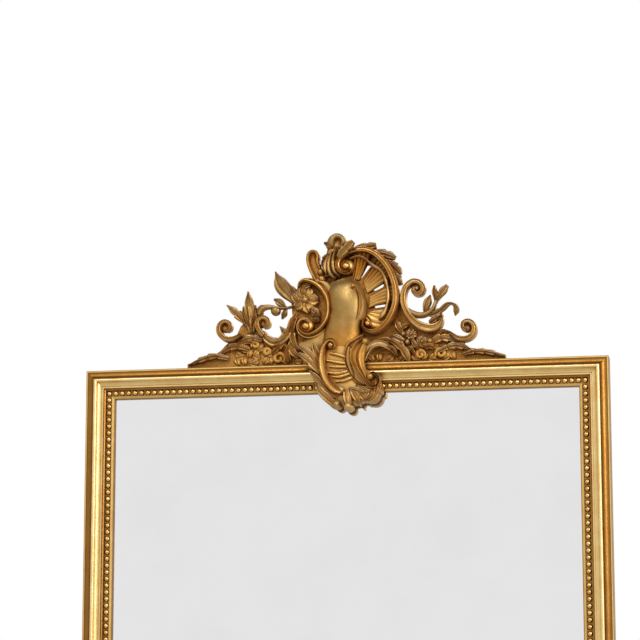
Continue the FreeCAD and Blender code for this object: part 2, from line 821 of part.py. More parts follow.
RIGHT_C_PX = [
    (362.6, 323.6), (364, 329.2), (369.6, 332.6), (377.4, 331.8), (385.6, 326.4), (392, 317),
    (395.6, 306.4), (396.2, 294.6), (394.2, 282.4), (389.4, 270.4), (381.8, 260.2), (372.2, 253.4),
    (361.6, 250.2), (351.8, 251.6), (343.2, 257), (338.2, 264), (339, 270.6), (343.8, 273.8), (349, 271.8),
    (350, 266.6), (346.4, 264.4),
]
RIGHT_C_WIDTHS_PX = (3.4, 5.4, 6.6, 6.6, 6.6, 6.2, 4.4, 3.6)
RIGHT_C_BALL_PX = (368.4, 324.4)
RIGHT_C_BALL_RADIUS_PX = 3.2
right_c = scroll(RIGHT_C_PX, RIGHT_C_WIDTHS_PX, level, float(S.c_scroll_rise))
carved("right_c_scroll", [right_c, ball(RIGHT_C_BALL_PX, RIGHT_C_BALL_RADIUS_PX, level)])
RAYS_PX = [
    ([(355.6, 280.5), (359.2, 270), (361.8, 258.5)], (4, 8, 9.4)),
    ([(363.5, 287), (371, 278.4), (380.2, 269.6)], (5, 10, 12.4)),
    ([(366.6, 300.4), (376, 298), (389, 295.4)], (6, 11, 14)),
    ([(365.4, 314), (374, 316), (384.2, 316)], (5, 8, 9)),
]
carved("shell_rays", [scroll(path, widths, level, float(S.ray_rise)) for path, widths in RAYS_PX])
RIM_LEAVES_PX = [
    ([(356.4, 246.8), (365.4, 245.4), (376, 243.4)], 3.4),
    ([(375.6, 252.4), (385.4, 254), (395.6, 257)], 3.8),
    ([(388.4, 261), (394.8, 266.2), (401.6, 273)], 3.6),
    ([(395.8, 274.4), (399, 279.6), (401, 285)], 2.4),
]
RIM_LEAF_LOBES = 2
carved("rim_leaves", [
    trimmed(leaf(path, half, RIM_LEAF_LOBES, level, float(S.leaf_rise)), right_c)
    for path, half in RIM_LEAVES_PX
])

# Crown of the cartouche: bud, leaf over the rim and horn

BUD_PX = [
    (328.6, 279), (327.2, 271), (327.4, 263), (329.6, 256), (330.4, 250.5), (326.4, 246), (325.2, 242),
    (328, 240), (329, 235.8), (333, 232.4), (338, 232), (343, 234.6), (345.2, 239), (344.8, 244.5),
    (341.6, 249.5), (338, 254.5), (335, 260), (334.2, 265), (334.8, 271), (337.6, 278),
]
BUD_MIDDLE_PX = (333.6, 253)
BUD_TOP_SHARE = 0.72
rings = []
for reach, proud in ((1, level), (BUD_TOP_SHARE, level + float(S.bud_rise))):
    ring = []
    for u, v in BUD_PX:
        across = BUD_MIDDLE_PX[0] + (u - BUD_MIDDLE_PX[0]) * reach
        down = BUD_MIDDLE_PX[1] + (v - BUD_MIDDLE_PX[1]) * reach
        ring.append(spot(across, down, level + float(S.bud_rise) * SEEN_SHARE, proud))
    rings.append(ring)
carved("crown_bud", [ruled(*rings)])
rim_front = level + float(S.c_scroll_rise + S.stack_gap)
CROWN_LEAF_PX = ([(340, 262), (344.5, 255), (348.5, 248.4), (352, 242)], 4.6, 3)
carved("crown_leaf", [leaf(*CROWN_LEAF_PX, rim_front, float(S.ground_rise))])
HORN_PX = [(323.4, 278), (318.8, 272.5), (314.8, 266), (312.8, 259.5), (312.8, 253)]
HORN_WIDTHS_PX = (5, 8, 10.4, 10.6, 7)
carved("horn_scroll", [scroll(HORN_PX, HORN_WIDTHS_PX, level, float(S.horn_rise))])

# Right wing: outer scroll, spray, acanthus, flowers and garland

RIGHT_OUTER_PX = [
    (441.8, 315.2), (440.8, 321.6), (436.4, 326.8), (428.4, 328.2), (418.8, 325), (410.4, 317.2),
    (405.2, 307), (404, 296.4), (406.4, 287.8), (412.8, 282.2), (419.6, 282.8), (423.2, 288),
    (421.4, 293.6), (416.8, 294.8), (413.6, 291.6), (415.4, 288.2),
]
RIGHT_OUTER_WIDTHS_PX = (1.6, 8, 8.4, 6.4, 5.6, 5.2, 5, 4.6, 3.8, 3.4)
right_outer = scroll(RIGHT_OUTER_PX, RIGHT_OUTER_WIDTHS_PX, level, float(S.outer_scroll_rise))
carved("right_outer_scroll", [right_outer])
SPRAY_STEM_PX = [(407, 309.4), (413, 312.4), (420, 313.6), (427, 313), (432.4, 308), (435.6, 301)]
SPRAY_BRANCH_PX = [(431.6, 309.6), (437, 308.4), (441.5, 305.6), (446, 302.8), (450.4, 302.6), (453, 306.4)]
SPRAY_LEAVES_PX = [
    ([(424, 313.4), (425.8, 304.5), (430, 295.2)], 3.3),
    ([(435.4, 303), (434.2, 294.4), (434, 285.4)], 2.3),
    ([(435.2, 302.4), (440, 294), (446.2, 285.4)], 3.2),
    ([(452.4, 305), (454.8, 309.6), (454.4, 315.4)], 2.8),
]
SPRAY_STEM_WIDTHS_PX = (4, 3.4, 3, 2.6)
SPRAY_BRANCH_WIDTHS_PX = (2.6, 2.6)
SPRAY_LOBES = 2
spray = [scroll(SPRAY_STEM_PX, SPRAY_STEM_WIDTHS_PX, level, float(S.spray_rise))]
spray += [scroll(SPRAY_BRANCH_PX, SPRAY_BRANCH_WIDTHS_PX, level, float(S.spray_rise))]
spray += [leaf(path, half, SPRAY_LOBES, level, float(S.spray_rise)) for path, half in SPRAY_LEAVES_PX]
carved("right_spray", [trimmed(joined(spray), right_outer)])
ACANTHUS_PX = (
    [(369, 351), (373.4, 345.4), (382, 341.8), (392, 343), (401, 349), (407.6, 359.4)],
    4.2,
    5,
)
INNER_CURL_PX = ([(374, 355), (378.5, 350.8), (385, 350.6), (391.6, 355)], 2.2, 3)
carved("right_acanthus", [
    leaf(*ACANTHUS_PX, level, float(S.acanthus_rise)),
    leaf(*INNER_CURL_PX, level, float(S.leaf_rise)),
])
FLOWERS_PX = [
    ((399.2, 325.6), 3.4), ((405, 331.4), 2.9), ((412, 332.6), 3.4),
    ((406.4, 338.4), 3), ((413.4, 340.4), 3), ((421.6, 340.6), 5),
]
FLOWER_PETALS = 5
carved("right_flowers", [
    rosette(place, radius, FLOWER_PETALS, level, float(S.flower_rise)) for place, radius in FLOWERS_PX
])
GARLAND_RIGHT_PX = [
    ([(427.6, 347.6), (432.5, 341.4), (439.5, 338.4), (448, 340.4)], 3.8, 3),
    ([(440, 349.4), (450, 345.4), (460, 345.6), (469, 349.2)], 3.4, 4),
    ([(464, 353.4), (476, 351), (488, 352.2), (502, 355.4)], 2.6, 4),
]
carved("right_garland", [leaf(*leaf_px, level, float(S.leaf_rise)) for leaf_px in GARLAND_RIGHT_PX])
END_RIGHT_PX = [
    (451, 334), (458, 338.6), (466.4, 338.6), (472.6, 333.4), (473.2, 325.6), (468.4, 320.8),
    (462.6, 322.4), (461.8, 327.6), (465, 330),
]
END_WIDTHS_PX = (3, 5, 5, 4.4, 3.6, 3.4)
carved("right_end_scroll", [scroll(END_RIGHT_PX, END_WIDTHS_PX, level, float(S.outer_scroll_rise))])
GROUND_RIGHT_PX = [
    [(399.4, 359), (394, 358.8), (388, 359.8)],
    [(414, 358.4), (417.6, 353.6), (424, 351)],
    [(428, 358), (433, 354.6), (440, 354)],
    [(444, 356.4), (449.6, 353.4), (457, 353.4)],
]
GROUND_HALF_PX = 2.7
GROUND_LOBES = 2
carved("ground_foliage_right", [
    leaf(path, GROUND_HALF_PX, GROUND_LOBES, level, float(S.ground_rise)) for path in GROUND_RIGHT_PX
])

# Left wing: tall leaf, twig, upright leaf, curl, acanthus stem and garland

TALL_LEAF_PX = ([(293.4, 298), (286.6, 290.6), (280, 281.6), (275, 271)], 5.4, 3)
carved("left_tall_leaf", [leaf(*TALL_LEAF_PX, level, float(S.leaf_rise))])
TWIG_PX = [
    (292.4, 306.6), (286.4, 308), (279, 308.2), (271, 307), (264.6, 307.4), (260.2, 310.4), (258.4, 314),
]
TWIG_WIDTHS_PX = (3.4, 3, 2.8, 2.6)
TWIG_LEAVES_PX = [
    ([(285, 307.8), (279.6, 303.4), (273.6, 300.2)], 2.8, 2),
    ([(284.4, 308), (283.4, 313.4), (281.6, 319)], 2.2, 2),
    ([(281.6, 309.2), (276, 311.8), (269.4, 312.4)], 3.2, 1),
]
twig = [scroll(TWIG_PX, TWIG_WIDTHS_PX, level, float(S.spray_rise))]
twig += [leaf(*leaf_px, level, float(S.spray_rise)) for leaf_px in TWIG_LEAVES_PX]
carved("left_twig", [joined(twig)])
UPRIGHT_LEAF_PX = ([(250.6, 330), (249.4, 317), (247.8, 304), (247, 291.6)], 5.4, 4)
carved("left_upright_leaf", [leaf(*UPRIGHT_LEAF_PX, level, float(S.leaf_rise))])
LEFT_CURL_PX = [
    (263, 335.4), (259, 330), (257.4, 324.4), (259.4, 319.6), (264, 318), (268, 320.8), (268, 326),
    (263.8, 327.4),
]
LEFT_CURL_WIDTHS_PX = (4.4, 4.6, 4.6, 4.4, 3.8, 3.4)
carved("left_curl_scroll", [scroll(LEFT_CURL_PX, LEFT_CURL_WIDTHS_PX, level, float(S.outer_scroll_rise))])
STEM_PX = (
    [(268.2, 338.8), (274, 341), (280, 339.8), (285, 335.4), (288.6, 329), (290.8, 322), (293, 315)],
    3.8,
    4,
)
carved("left_acanthus_stem", [leaf(*STEM_PX, level, float(S.acanthus_rise))])
UNDER_LEAF_PX = ([(298.4, 356), (292.6, 352), (290, 346), (291.6, 339.6)], 3.4, 3)
carved("left_under_leaf", [leaf(*UNDER_LEAF_PX, level, float(S.leaf_rise))])
GARLAND_LEFT_PX = [
    ([(243.6, 321.4), (238, 315.4), (232, 309.6), (226, 305)], 3.6, 3),
    ([(246, 349), (238, 347.4), (229, 348.6), (221, 353.4)], 3, 3),
    ([(226, 359), (213, 357.6), (201, 360.6), (188, 366)], 3, 4),
]
carved("left_garland", [leaf(*leaf_px, level, float(S.leaf_rise)) for leaf_px in GARLAND_LEFT_PX])
END_LEFT_PX = [
    (240, 336), (232, 340), (224, 339), (218.4, 333), (218.8, 325.6), (224, 321.6), (229.4, 324),
    (229.4, 329.4), (226, 331),
]
carved("left_end_scroll", [scroll(END_LEFT_PX, END_WIDTHS_PX, level, float(S.outer_scroll_rise))])
GROUND_LEFT_PX = [
    [(289, 360.4), (283, 357.8), (278, 352.6)],
    [(274, 361), (268, 357.6), (264.4, 351)],
    [(259.4, 361), (254, 357), (250.6, 350.6)],
    [(245, 361.6), (238.4, 358), (232.4, 353)],
]
carved("ground_foliage_left", [
    leaf(path, GROUND_HALF_PX, GROUND_LOBES, level, float(S.ground_rise)) for path in GROUND_LEFT_PX
])

# The pendant: a block in front of the moulding, with scrolls, ribs, leaves and drops

block_back = float(torus_height + S.pendant_gap)
pendant = block_back + float(S.pendant_base_thickness)
PENDANT_PX = [
    (318, 350), (328, 347.4), (346, 348.4), (358, 348.4), (363, 352), (362, 364), (368, 370), (378, 374),
    (380.6, 384), (378, 394), (371, 400.4), (362, 397), (355, 401), (349.4, 405), (343, 400), (336, 400.4),
    (329, 392), (321.4, 382), (317.4, 368),
]
carved("pendant_base", [slab(PENDANT_PX, pendant, block_back, pendant)])
PENDANT_LEFT_PX = [
    (331, 345.2), (333, 347.2), (335.8, 345.4), (335, 341), (330.6, 339.4), (325.8, 343.4), (322.8, 351),
    (321.8, 360), (322.4, 368.4), (325, 376.4), (329.4, 383.6), (335, 389.2), (341, 391.4), (345.6, 390.2),
]
PENDANT_LEFT_WIDTHS_PX = (2.6, 3.4, 4, 4.8, 5, 5, 4.6, 3.4)
carved("pendant_left_scroll", [
    scroll(PENDANT_LEFT_PX, PENDANT_LEFT_WIDTHS_PX, pendant, float(S.pendant_scroll_rise)),
])
PENDANT_RIGHT_PX = [
    (366.4, 344), (360, 347), (356, 353), (355, 361), (357.2, 369.4), (362, 377), (368.6, 382.8),
    (375.6, 383.2), (379.6, 378.6), (378, 373), (373, 371.6), (370, 375),
]
PENDANT_RIGHT_WIDTHS_PX = (3, 5.6, 7.4, 7.6, 6.4, 5, 4.2, 3)
carved("pendant_right_scroll", [
    scroll(PENDANT_RIGHT_PX, PENDANT_RIGHT_WIDTHS_PX, pendant, float(S.pendant_scroll_rise)),
])
RIBS_PX = [
    [(329, 352), (338, 353.8), (348.4, 356.4)],
    [(327.6, 357), (338, 358.4), (348.6, 360.4)],
    [(327, 362), (338, 363), (348.8, 364.6)],
    [(327.6, 367), (339, 367.6), (350, 368.4)],
    [(329.4, 372), (340, 372.2), (352, 372.2)],
    [(332, 377), (342, 377), (354.6, 376.4)],
]
RIB_WIDTHS_PX = (2.4, 3.2, 3.6)
carved("pendant_ribs", [
    scroll(path, RIB_WIDTHS_PX, pendant, float(S.pendant_rib_rise)) for path in RIBS_PX
])
SIDE_LEAVES_PX = [
    ([(317.6, 371), (312.6, 364), (307, 358), (302.6, 354)], 3.4, 3),
    ([(325.6, 389.4), (319.4, 382.6), (314.6, 376.6), (310.6, 370)], 3, 3),
]
carved("pendant_side_leaves", [
    leaf(*leaf_px, pendant, float(S.pendant_leaf_rise)) for leaf_px in SIDE_LEAVES_PX
])
DROPS_PX = [
    ([(332.4, 392), (335.2, 398.8), (338.4, 407.6)], 3.4, 2),
    ([(346.4, 395), (347.6, 402.6), (349.4, 412)], 4.2, 2),
    ([(353, 391.4), (357, 398), (359.6, 406)], 3.4, 2),
]
carved("pendant_drops", [leaf(*leaf_px, pendant, float(S.pendant_leaf_rise)) for leaf_px in DROPS_PX])
TAIL_LEAF_PX = ([(380, 387.6), (379.6, 393.4), (375.4, 399.4), (368.4, 403.6)], 3.4, 3)
carved("pendant_tail_leaf", [leaf(*TAIL_LEAF_PX, pendant, float(S.pendant_leaf_rise))])

# Hanging hardware on the backs of the stiles: strap, swinging D-ring and screws

strap_screws = []
for side_name, side in (("left", -1), ("right", 1)):
    x = (half_width - S.hanger_inset) * side
    name = f"{side_name}_hanger_strap"
    strap = doc.addObject("PartDesign::Body", name)
    plate = sketch_on(strap, f"{name}_plate", "YZ_Plane")
    draw_loop(plate, [
        (ZERO, ZERO), (S.strap_thickness, ZERO),
        (S.strap_thickness, -S.strap_length), (ZERO, -S.strap_length),
    ])
    pad(strap, plate, S.strap_width, centred=True)
    knuckle = sketch_on(strap, f"{name}_knuckle", "YZ_Plane")
    draw_circles(knuckle, [(S.hinge_height, ZERO)], S.knuckle_radius)
    pad(strap, knuckle, S.strap_width, centred=True)
    bore = sketch_on(strap, f"{name}_bore", "YZ_Plane")
    draw_circles(bore, [(S.hinge_height, ZERO)], S.ring_wire_radius + S.fit_gap)
    pocket(strap, bore)
    drill(strap, name, [(ZERO, row) for row in strap_rows], S.strap_thickness, S.strap_thickness)
    locate(strap, x, ZERO, ZERO)
    keep(strap, name)
    for row in strap_rows:
        strap_screws.append(screw(x, row, S.strap_thickness, S.strap_thickness + S.hanger_bite))

    name = f"{side_name}_hanging_ring"
    reach = S.ring_half_width - S.ring_corner_radius
    leg = S.ring_drop - S.ring_half_width - S.ring_corner_radius
    wires = [rod("ring_bar", S.ring_wire_radius, reach * 2, -reach, ZERO, ZERO, TO_RIGHT)]
    for hand in (-1, 1):
        wires.append(rod(
            "ring_leg", S.ring_wire_radius, leg, S.ring_half_width * hand, ZERO,
            -(S.ring_corner_radius + leg), FreeCAD.Rotation(),
        ))
        corner = doc.addObject("Part::Torus", "ring_corner")
        bind(corner, "Radius1", S.ring_corner_radius)
        bind(corner, "Radius2", S.ring_wire_radius)
        corner.Angle3 = 90
        start = FreeCAD.Rotation(Vector(0, 0, 1), 0 if hand > 0 else 90)
        locate(corner, reach * hand, ZERO, -S.ring_corner_radius, TO_FRONT.multiply(start))
        wires.append(corner)
    bow = doc.addObject("Part::Torus", "ring_bow")
    bind(bow, "Radius1", S.ring_half_width)
    bind(bow, "Radius2", S.ring_wire_radius)
    bow.Angle3 = 180
    locate(bow, ZERO, ZERO, -(S.ring_drop - S.ring_half_width), TO_BACK)
    wires.append(bow)
    ring = doc.addObject("Part::MultiFuse", name)
    ring.Shapes = wires
    locate(ring, x, S.hinge_height, ZERO)
    keep(ring, name)
hanger_screws = doc.addObject("Part::Compound", "hanger_screws")
hanger_screws.Links = strap_screws
keep(hanger_screws, "hanger_screws")

# Felt bumpers low on the back, which hold the frame off the wall

bumpers = []
for side in (-1, 1):
    bumpers.append(rod(
        "wall_bumper", S.bumper_radius, S.bumper_thickness, (half_width - S.hanger_inset) * side, ZERO,
        frame_bottom + S.bumper_rise, TO_BACK,
    ))
wall_bumpers = doc.addObject("Part::Compound", "wall_bumpers")
wall_bumpers.Links = bumpers
keep(wall_bumpers, "wall_bumpers")

# Build, check and write every node

doc.recompute()
faults = []
for item in doc.Objects:
    if "Invalid" in item.State or "Error" in item.State:
        faults.append(f"{item.Name}: {item.State}")
for item in NODES:
    if item.Shape.isNull() or not item.Shape.isValid() or not item.Shape.Solids:
        faults.append(f"{item.Label}: bad shape")
if faults:
    raise RuntimeError("; ".join(faults))
os.makedirs("parts", exist_ok=True)
for item in NODES:
    item.Shape.exportStep(f"parts/{item.Label}.step")
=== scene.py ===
import itertools
from math import cos, pi, radians, sin, sqrt

import bmesh
import bpy
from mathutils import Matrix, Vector
from mathutils.geometry import interpolate_bezier


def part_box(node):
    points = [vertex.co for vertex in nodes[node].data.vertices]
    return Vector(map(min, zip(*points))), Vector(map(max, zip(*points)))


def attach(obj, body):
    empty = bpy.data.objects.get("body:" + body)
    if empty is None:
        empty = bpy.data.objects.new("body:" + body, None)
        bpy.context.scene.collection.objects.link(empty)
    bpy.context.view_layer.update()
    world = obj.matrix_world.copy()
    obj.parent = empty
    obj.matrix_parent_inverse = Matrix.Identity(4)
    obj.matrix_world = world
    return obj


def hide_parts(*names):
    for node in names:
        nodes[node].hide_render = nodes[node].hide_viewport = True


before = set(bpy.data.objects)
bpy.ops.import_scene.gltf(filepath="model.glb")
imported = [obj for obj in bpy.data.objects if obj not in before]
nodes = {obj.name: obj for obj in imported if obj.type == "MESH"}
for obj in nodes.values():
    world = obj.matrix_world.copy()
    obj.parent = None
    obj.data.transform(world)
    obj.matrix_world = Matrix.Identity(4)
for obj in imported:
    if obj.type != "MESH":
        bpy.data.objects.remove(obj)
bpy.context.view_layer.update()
scene = bpy.context.scene

# Rails and stiles: mitred lengths of pine moulding under gesso, red clay and gold leaf.
# The leaf is toned brown in the quirks, which is partly painted shade, and rubbed through to the clay along
# its sharp edges.


def feed(made, inputs):
    """Sets or links the sockets of a shader node."""
    for socket, value in inputs.items():
        if isinstance(value, bpy.types.NodeSocket):
            made.id_data.links.new(value, made.inputs[socket])
        else:
            made.inputs[socket].default_value = value


def put(near, kind, inputs, **settings):
    """A new shader node in the tree of another, with its settings made and its sockets fed."""
    made = near.id_data.nodes.new("ShaderNode" + kind)
    for setting, value in settings.items():
        setattr(made, setting, value)
    feed(made, inputs)
    return made


def new_material(name):
    """A material, its shader and the place of each point of its object."""
    material = bpy.data.materials.new(name)
    material.use_nodes = True
    shader = material.node_tree.nodes["Principled BSDF"]
    return material, shader, put(shader, "TexCoord", {}).outputs["Object"]


def maths(way, first, *others):
    """A sum on a socket and other sockets or numbers."""
    values = dict(enumerate((first, *others)))
    return put(first, "Math", values, operation=way).outputs[0]


def axes(vector):
    return put(vector, "SeparateXYZ", {"Vector": vector}).outputs


def ramp(value, ends, bottom=0, top=1):
    """A smooth step of a value from bottom, at the first end, to top, at the second."""
    steps = {"Value": value, "From Min": ends[0], "From Max": ends[1], "To Min": bottom, "To Max": top}
    made = put(value, "MapRange", steps, interpolation_type="SMOOTHSTEP")
    return made.outputs["Result"]


def blend(share, base, over, way="MIX"):
    near = share if way == "MIX" else base
    colours = {0: share, 6: base, 7: over}
    return put(near, "Mix", colours, data_type="RGBA", blend_type=way).outputs[2]


def noise(place, scale, detail, roughness=0.6):
    sizes = {"Vector": place, "Scale": scale, "Detail": detail, "Roughness": roughness}
    return put(place, "TexNoise", sizes).outputs["Fac"]


def bumped(shader, height, strength, depth, under=None):
    inputs = {"Height": height, "Strength": strength, "Distance": depth}
    if under:
        inputs["Normal"] = under
    normal = put(shader, "Bump", inputs).outputs["Normal"]
    feed(shader, {"Normal": normal})
    return normal


CLAY = (0.2, 0.045, 0.018, 1)
TONING_AND_SHADE = (0.25, 0.1, 0.02, 1)
DUST = (0.36, 0.31, 0.27, 1)
OCHRE_WASH = (0.36, 0.2, 0.075, 1)
WORN_WASH = (0.22, 0.115, 0.045, 1)
QUIRK_DEPTH = 0.014
EDGE_DEPTH = 0.0016
GRAIN_DEPTH = 0.0008
PUNCH_DEPTH = 0.0012
GRAIN_STRENGTH = 0.22
PUNCH_STRENGTH = 0.5
CLOUD_SCALE = 26
GRAIN_SCALE = 210
WHOLE = (0, 1)
TONING_AND_SHADE_SHARES = (0.9, 0.36)
THIN_SHARES = (0.62, 0.3)
PATCH_SHARES = (0.44, 0.62)
FLECK_SHARES = (0.66, 0.74)
UPWARD_SHARES = (0.12, 0.85)
DUSTY_SHARES = (0.3, 0.62)
LEAST_DUST_SHARE = 0.25
WALLWARD_SHARES = (0.75, 0.95)
MOTTLE_SHARES = (0.34, 0.66)
WASH_SHARES = (0.36, 0.66)
METAL_SHARES = (0.96, 0.25)
DULLED_BY = 0.35
BRUSHED_BY = 0.16
BRUSHED_SHARES = (0.3, 0.7)
PUNCHED_SHARES = (0.18, 0.46)
WASH_ROUGHNESS = 0.85


def gilding(
    name, leaf, shade, gloss, dust=0.0, rubbed=0.5, toned_and_shaded=0.75, depth=QUIRK_DEPTH, stipple=0.0, tones_and_shade=None,
):
    """Gold leaf over red clay: mottled, darkened in its hollows by toning and painted shade, rubbed on its
    edges, dusty on its tops.

    A back that faces the wall has no leaf, only a wash of ochre.
    """
    material, shader, place = new_material(name)
    cloud = noise(place, CLOUD_SCALE, 6)
    grain = noise(place, GRAIN_SCALE, 5, 0.7)
    around = put(place, "AmbientOcclusion", {"Distance": depth}, samples=6).outputs["AO"]
    inside = put(place, "AmbientOcclusion", {"Distance": EDGE_DEPTH}, samples=4, inside=True).outputs["AO"]
    # Darkening near other surfaces, found by an occlusion node: toning, and painted shade in the hollows.
    hollow_toning_and_shade = maths("MULTIPLY", ramp(around, TONING_AND_SHADE_SHARES), toned_and_shaded)
    patch = ramp(cloud, PATCH_SHARES, 0, rubbed)
    edge = maths("MULTIPLY", ramp(inside, THIN_SHARES), patch)
    worn = maths("MAXIMUM", edge, ramp(grain, FLECK_SHARES, 0, rubbed))
    turned = axes(put(place, "NewGeometry", {}).outputs["Normal"])
    fallen = ramp(cloud, DUSTY_SHARES, LEAST_DUST_SHARE * dust, dust)
    settled = maths("MULTIPLY", ramp(turned["Z"], UPWARD_SHARES), fallen)
    leafed = ramp(turned["Y"], WALLWARD_SHARES, 1, 0)
    gold = blend(ramp(cloud, MOTTLE_SHARES), shade, leaf)
    for share, colour in ((worn, CLAY), (hollow_toning_and_shade, TONING_AND_SHADE), (settled, DUST)):
        gold = blend(share, gold, colour)
    if tones_and_shade:
        # Tones laid over the gold by place, which carry painted shade.
        gold = blend(1, gold, tones_and_shade(place), "MULTIPLY")
    wash = blend(ramp(cloud, WASH_SHARES), OCHRE_WASH, WORN_WASH)
    dull = maths("MAXIMUM", settled, worn)
    brushed = ramp(grain, BRUSHED_SHARES, gloss, gloss + BRUSHED_BY)
    rough = maths("ADD", brushed, ramp(dull, WHOLE, 0, DULLED_BY))
    feed(shader, {
        "Base Color": blend(leafed, wash, gold),
        "Metallic": maths("MULTIPLY", leafed, ramp(dull, WHOLE, *METAL_SHARES)),
        "Roughness": ramp(leafed, WHOLE, WASH_ROUGHNESS, rough),
    })
    normal = bumped(shader, grain, GRAIN_STRENGTH, GRAIN_DEPTH)
    if stipple:
        cells = put(place, "TexVoronoi", {"Vector": place, "Scale": stipple})
        dots = ramp(cells.outputs["Distance"], PUNCHED_SHARES)
        bumped(shader, dots, PUNCH_STRENGTH, PUNCH_DEPTH, normal)
    return material


def dress(material, *names):
    """Gives CAD nodes that stay in view their finish."""
    for name in names:
        nodes[name].data.materials.clear()
        nodes[name].data.materials.append(material)


frame_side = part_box("right_stile")[1][0]
frame_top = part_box("top_rail")[1][2]
frame_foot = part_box("bottom_rail")[0][2]
BAND_BLUR = 0.0004
# Each band's width and tone. The darker cove, quirks, bead bed and sight edge are toning and painted shade.
MOULDING_TONES_AND_SHADE = [
    (0.0010, (0.4, 0.3, 0.19, 1)),
    (0.0020, (0.92, 0.84, 0.66, 1)),
    (0.0134, (0.36, 0.235, 0.1, 1)),
    (0.0010, (0.34, 0.2, 0.09, 1)),
    (0.0066, (1, 1, 1, 1)),
    (0.0080, (0.88, 0.88, 0.8, 1)),
    (0.0040, (0.9, 0.88, 0.8, 1)),
    (0.0040, (0.4, 0.28, 0.14, 1)),
    (0.0120, (0.52, 0.39, 0.22, 1)),
    (0.0044, (0.78, 0.68, 0.48, 1)),
    (0.0016, (0.34, 0.24, 0.14, 1)),
]


def moulding_tones_and_shade(place):
    """The tone of each band of the moulding, from its outer edge to the glass, with toning and painted shade
    in the cove, the quirks, the bead bed and the sight edge.
    """
    spread = axes(place)
    middle = (frame_top + frame_foot) / 2
    lifted = maths("SUBTRACT", spread["Z"], middle)
    insets = []
    for reach, half in ((spread["X"], frame_side), (lifted, frame_top - middle)):
        insets.append(maths("MULTIPLY_ADD", maths("ABSOLUTE", reach), -1, half))
    face = sum(width for width, tone in MOULDING_TONES_AND_SHADE)
    share = maths("DIVIDE", maths("MINIMUM", *insets), face)
    bands = put(place, "ValToRGB", {"Fac": share})
    stops = bands.color_ramp.elements
    stops[0].color = MOULDING_TONES_AND_SHADE[0][1]
    stops[1].color = MOULDING_TONES_AND_SHADE[-1][1]
    start = 0
    for width, tone in MOULDING_TONES_AND_SHADE:
        for edge in (start + BAND_BLUR, start + width - BAND_BLUR):
            stops.new(edge / face).color = tone
        start += width
    return bands.outputs["Color"]


gilt_moulding = gilding(
    "gilt_moulding", (1, 0.73, 0.34, 1), (0.9, 0.6, 0.25, 1), 0.3, rubbed=0.6, tones_and_shade=moulding_tones_and_shade,
)
dress(gilt_moulding, "top_rail", "bottom_rail", "left_stile", "right_stile")

# Corner keys: pine feathers glued into saw slots across the four mitres from behind.
# Their bare edges show in the sides of the frame, toned by age.

PINE = (0.42, 0.25, 0.11, 1)
PINE_DARK = (0.22, 0.115, 0.045, 1)
OLD_PINE = (0.27, 0.155, 0.075, 1)
OLD_PINE_DARK = (0.12, 0.062, 0.028, 1)
PALER_PINE = (0.33, 0.2, 0.1, 1)
LINES_SCALE = 1.3
LINES_BEND = 9
STREAK_SCALE = 5
FIBRE_SCALE = 90
STAIN_SCALE = 5
DARKENED_SHARES = ((0.3, 1, 0.3), (0.42, 0.66, 0.6), (0.45, 0.75, 0.55), (0.5, 0.75, 0.5))
SAWN_SHARES = (0.3, 0.7)
SAWN_ROUGHNESS = (0.62, 0.85)
SAWN_STRENGTH = 0.3


def pine(name, pale, dark, stretch):
    """Sawn pine with long growth lines, streaks, fibres and a few stains."""
    material, shader, place = new_material(name)
    along = put(place, "Mapping", {"Vector": place, "Scale": stretch}).outputs["Vector"]
    waves = {
        "Vector": along, "Scale": LINES_SCALE, "Distortion": LINES_BEND, "Detail": 4, "Detail Scale": 0.6,
    }
    lines = put(along, "TexWave", waves, bands_direction="DIAGONAL").outputs["Fac"]
    streak = noise(along, STREAK_SCALE, 6, 0.7)
    fibre = noise(along, FIBRE_SCALE, 5, 0.65)
    stain = noise(place, STAIN_SCALE, 5)
    wood = pale
    for mark, (low, high, strength) in zip((lines, streak, fibre, stain), DARKENED_SHARES):
        wood = blend(ramp(mark, (low, high), 0, strength), wood, dark)
    feed(shader, {"Base Color": wood, "Roughness": ramp(fibre, SAWN_SHARES, *SAWN_ROUGHNESS)})
    bumped(shader, fibre, SAWN_STRENGTH, GRAIN_DEPTH)
    return material


UPRIGHT_GRAIN = (14, 14, 0.7)
bare_pine = pine("bare_pine", PINE, PINE_DARK, UPRIGHT_GRAIN)
dress(bare_pine, "corner_keys")

# Pearl beads: turned half balls, gilded and glued one by one into the bed beside the sight edge.
# Each has few faces, because there are hundreds.

BEAD_RADIUS = 0.0056
BEAD_PITCH = 0.0132
BEAD_SIDES = 12
BEAD_STEPS = 8
SHARP_ANGLE = radians(38)
block = bmesh.new()


def make_piece(name, material, other=None, other_from=0):
    """A finished piece of all that was shaped in the block, which is left empty for the next one.

    It rides on the frame and stands for the CAD node of its name. Its later faces can have another finish.
    """
    bmesh.ops.recalc_face_normals(block, faces=block.faces)
    mesh = bpy.data.meshes.new("carved_" + name)
    block.to_mesh(mesh)
    block.clear()
    mesh.polygons.foreach_set("use_smooth", [True] * len(mesh.polygons))
    mesh.set_sharp_from_angle(angle=SHARP_ANGLE)
    mesh.materials.append(material)
    if other:
        mesh.materials.append(other)
        for face in mesh.polygons[other_from:]:
            face.material_index = 1
    piece = bpy.data.objects.new("carved_" + name, mesh)
    scene.collection.objects.link(piece)
    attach(piece, "frame")
    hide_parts(name)
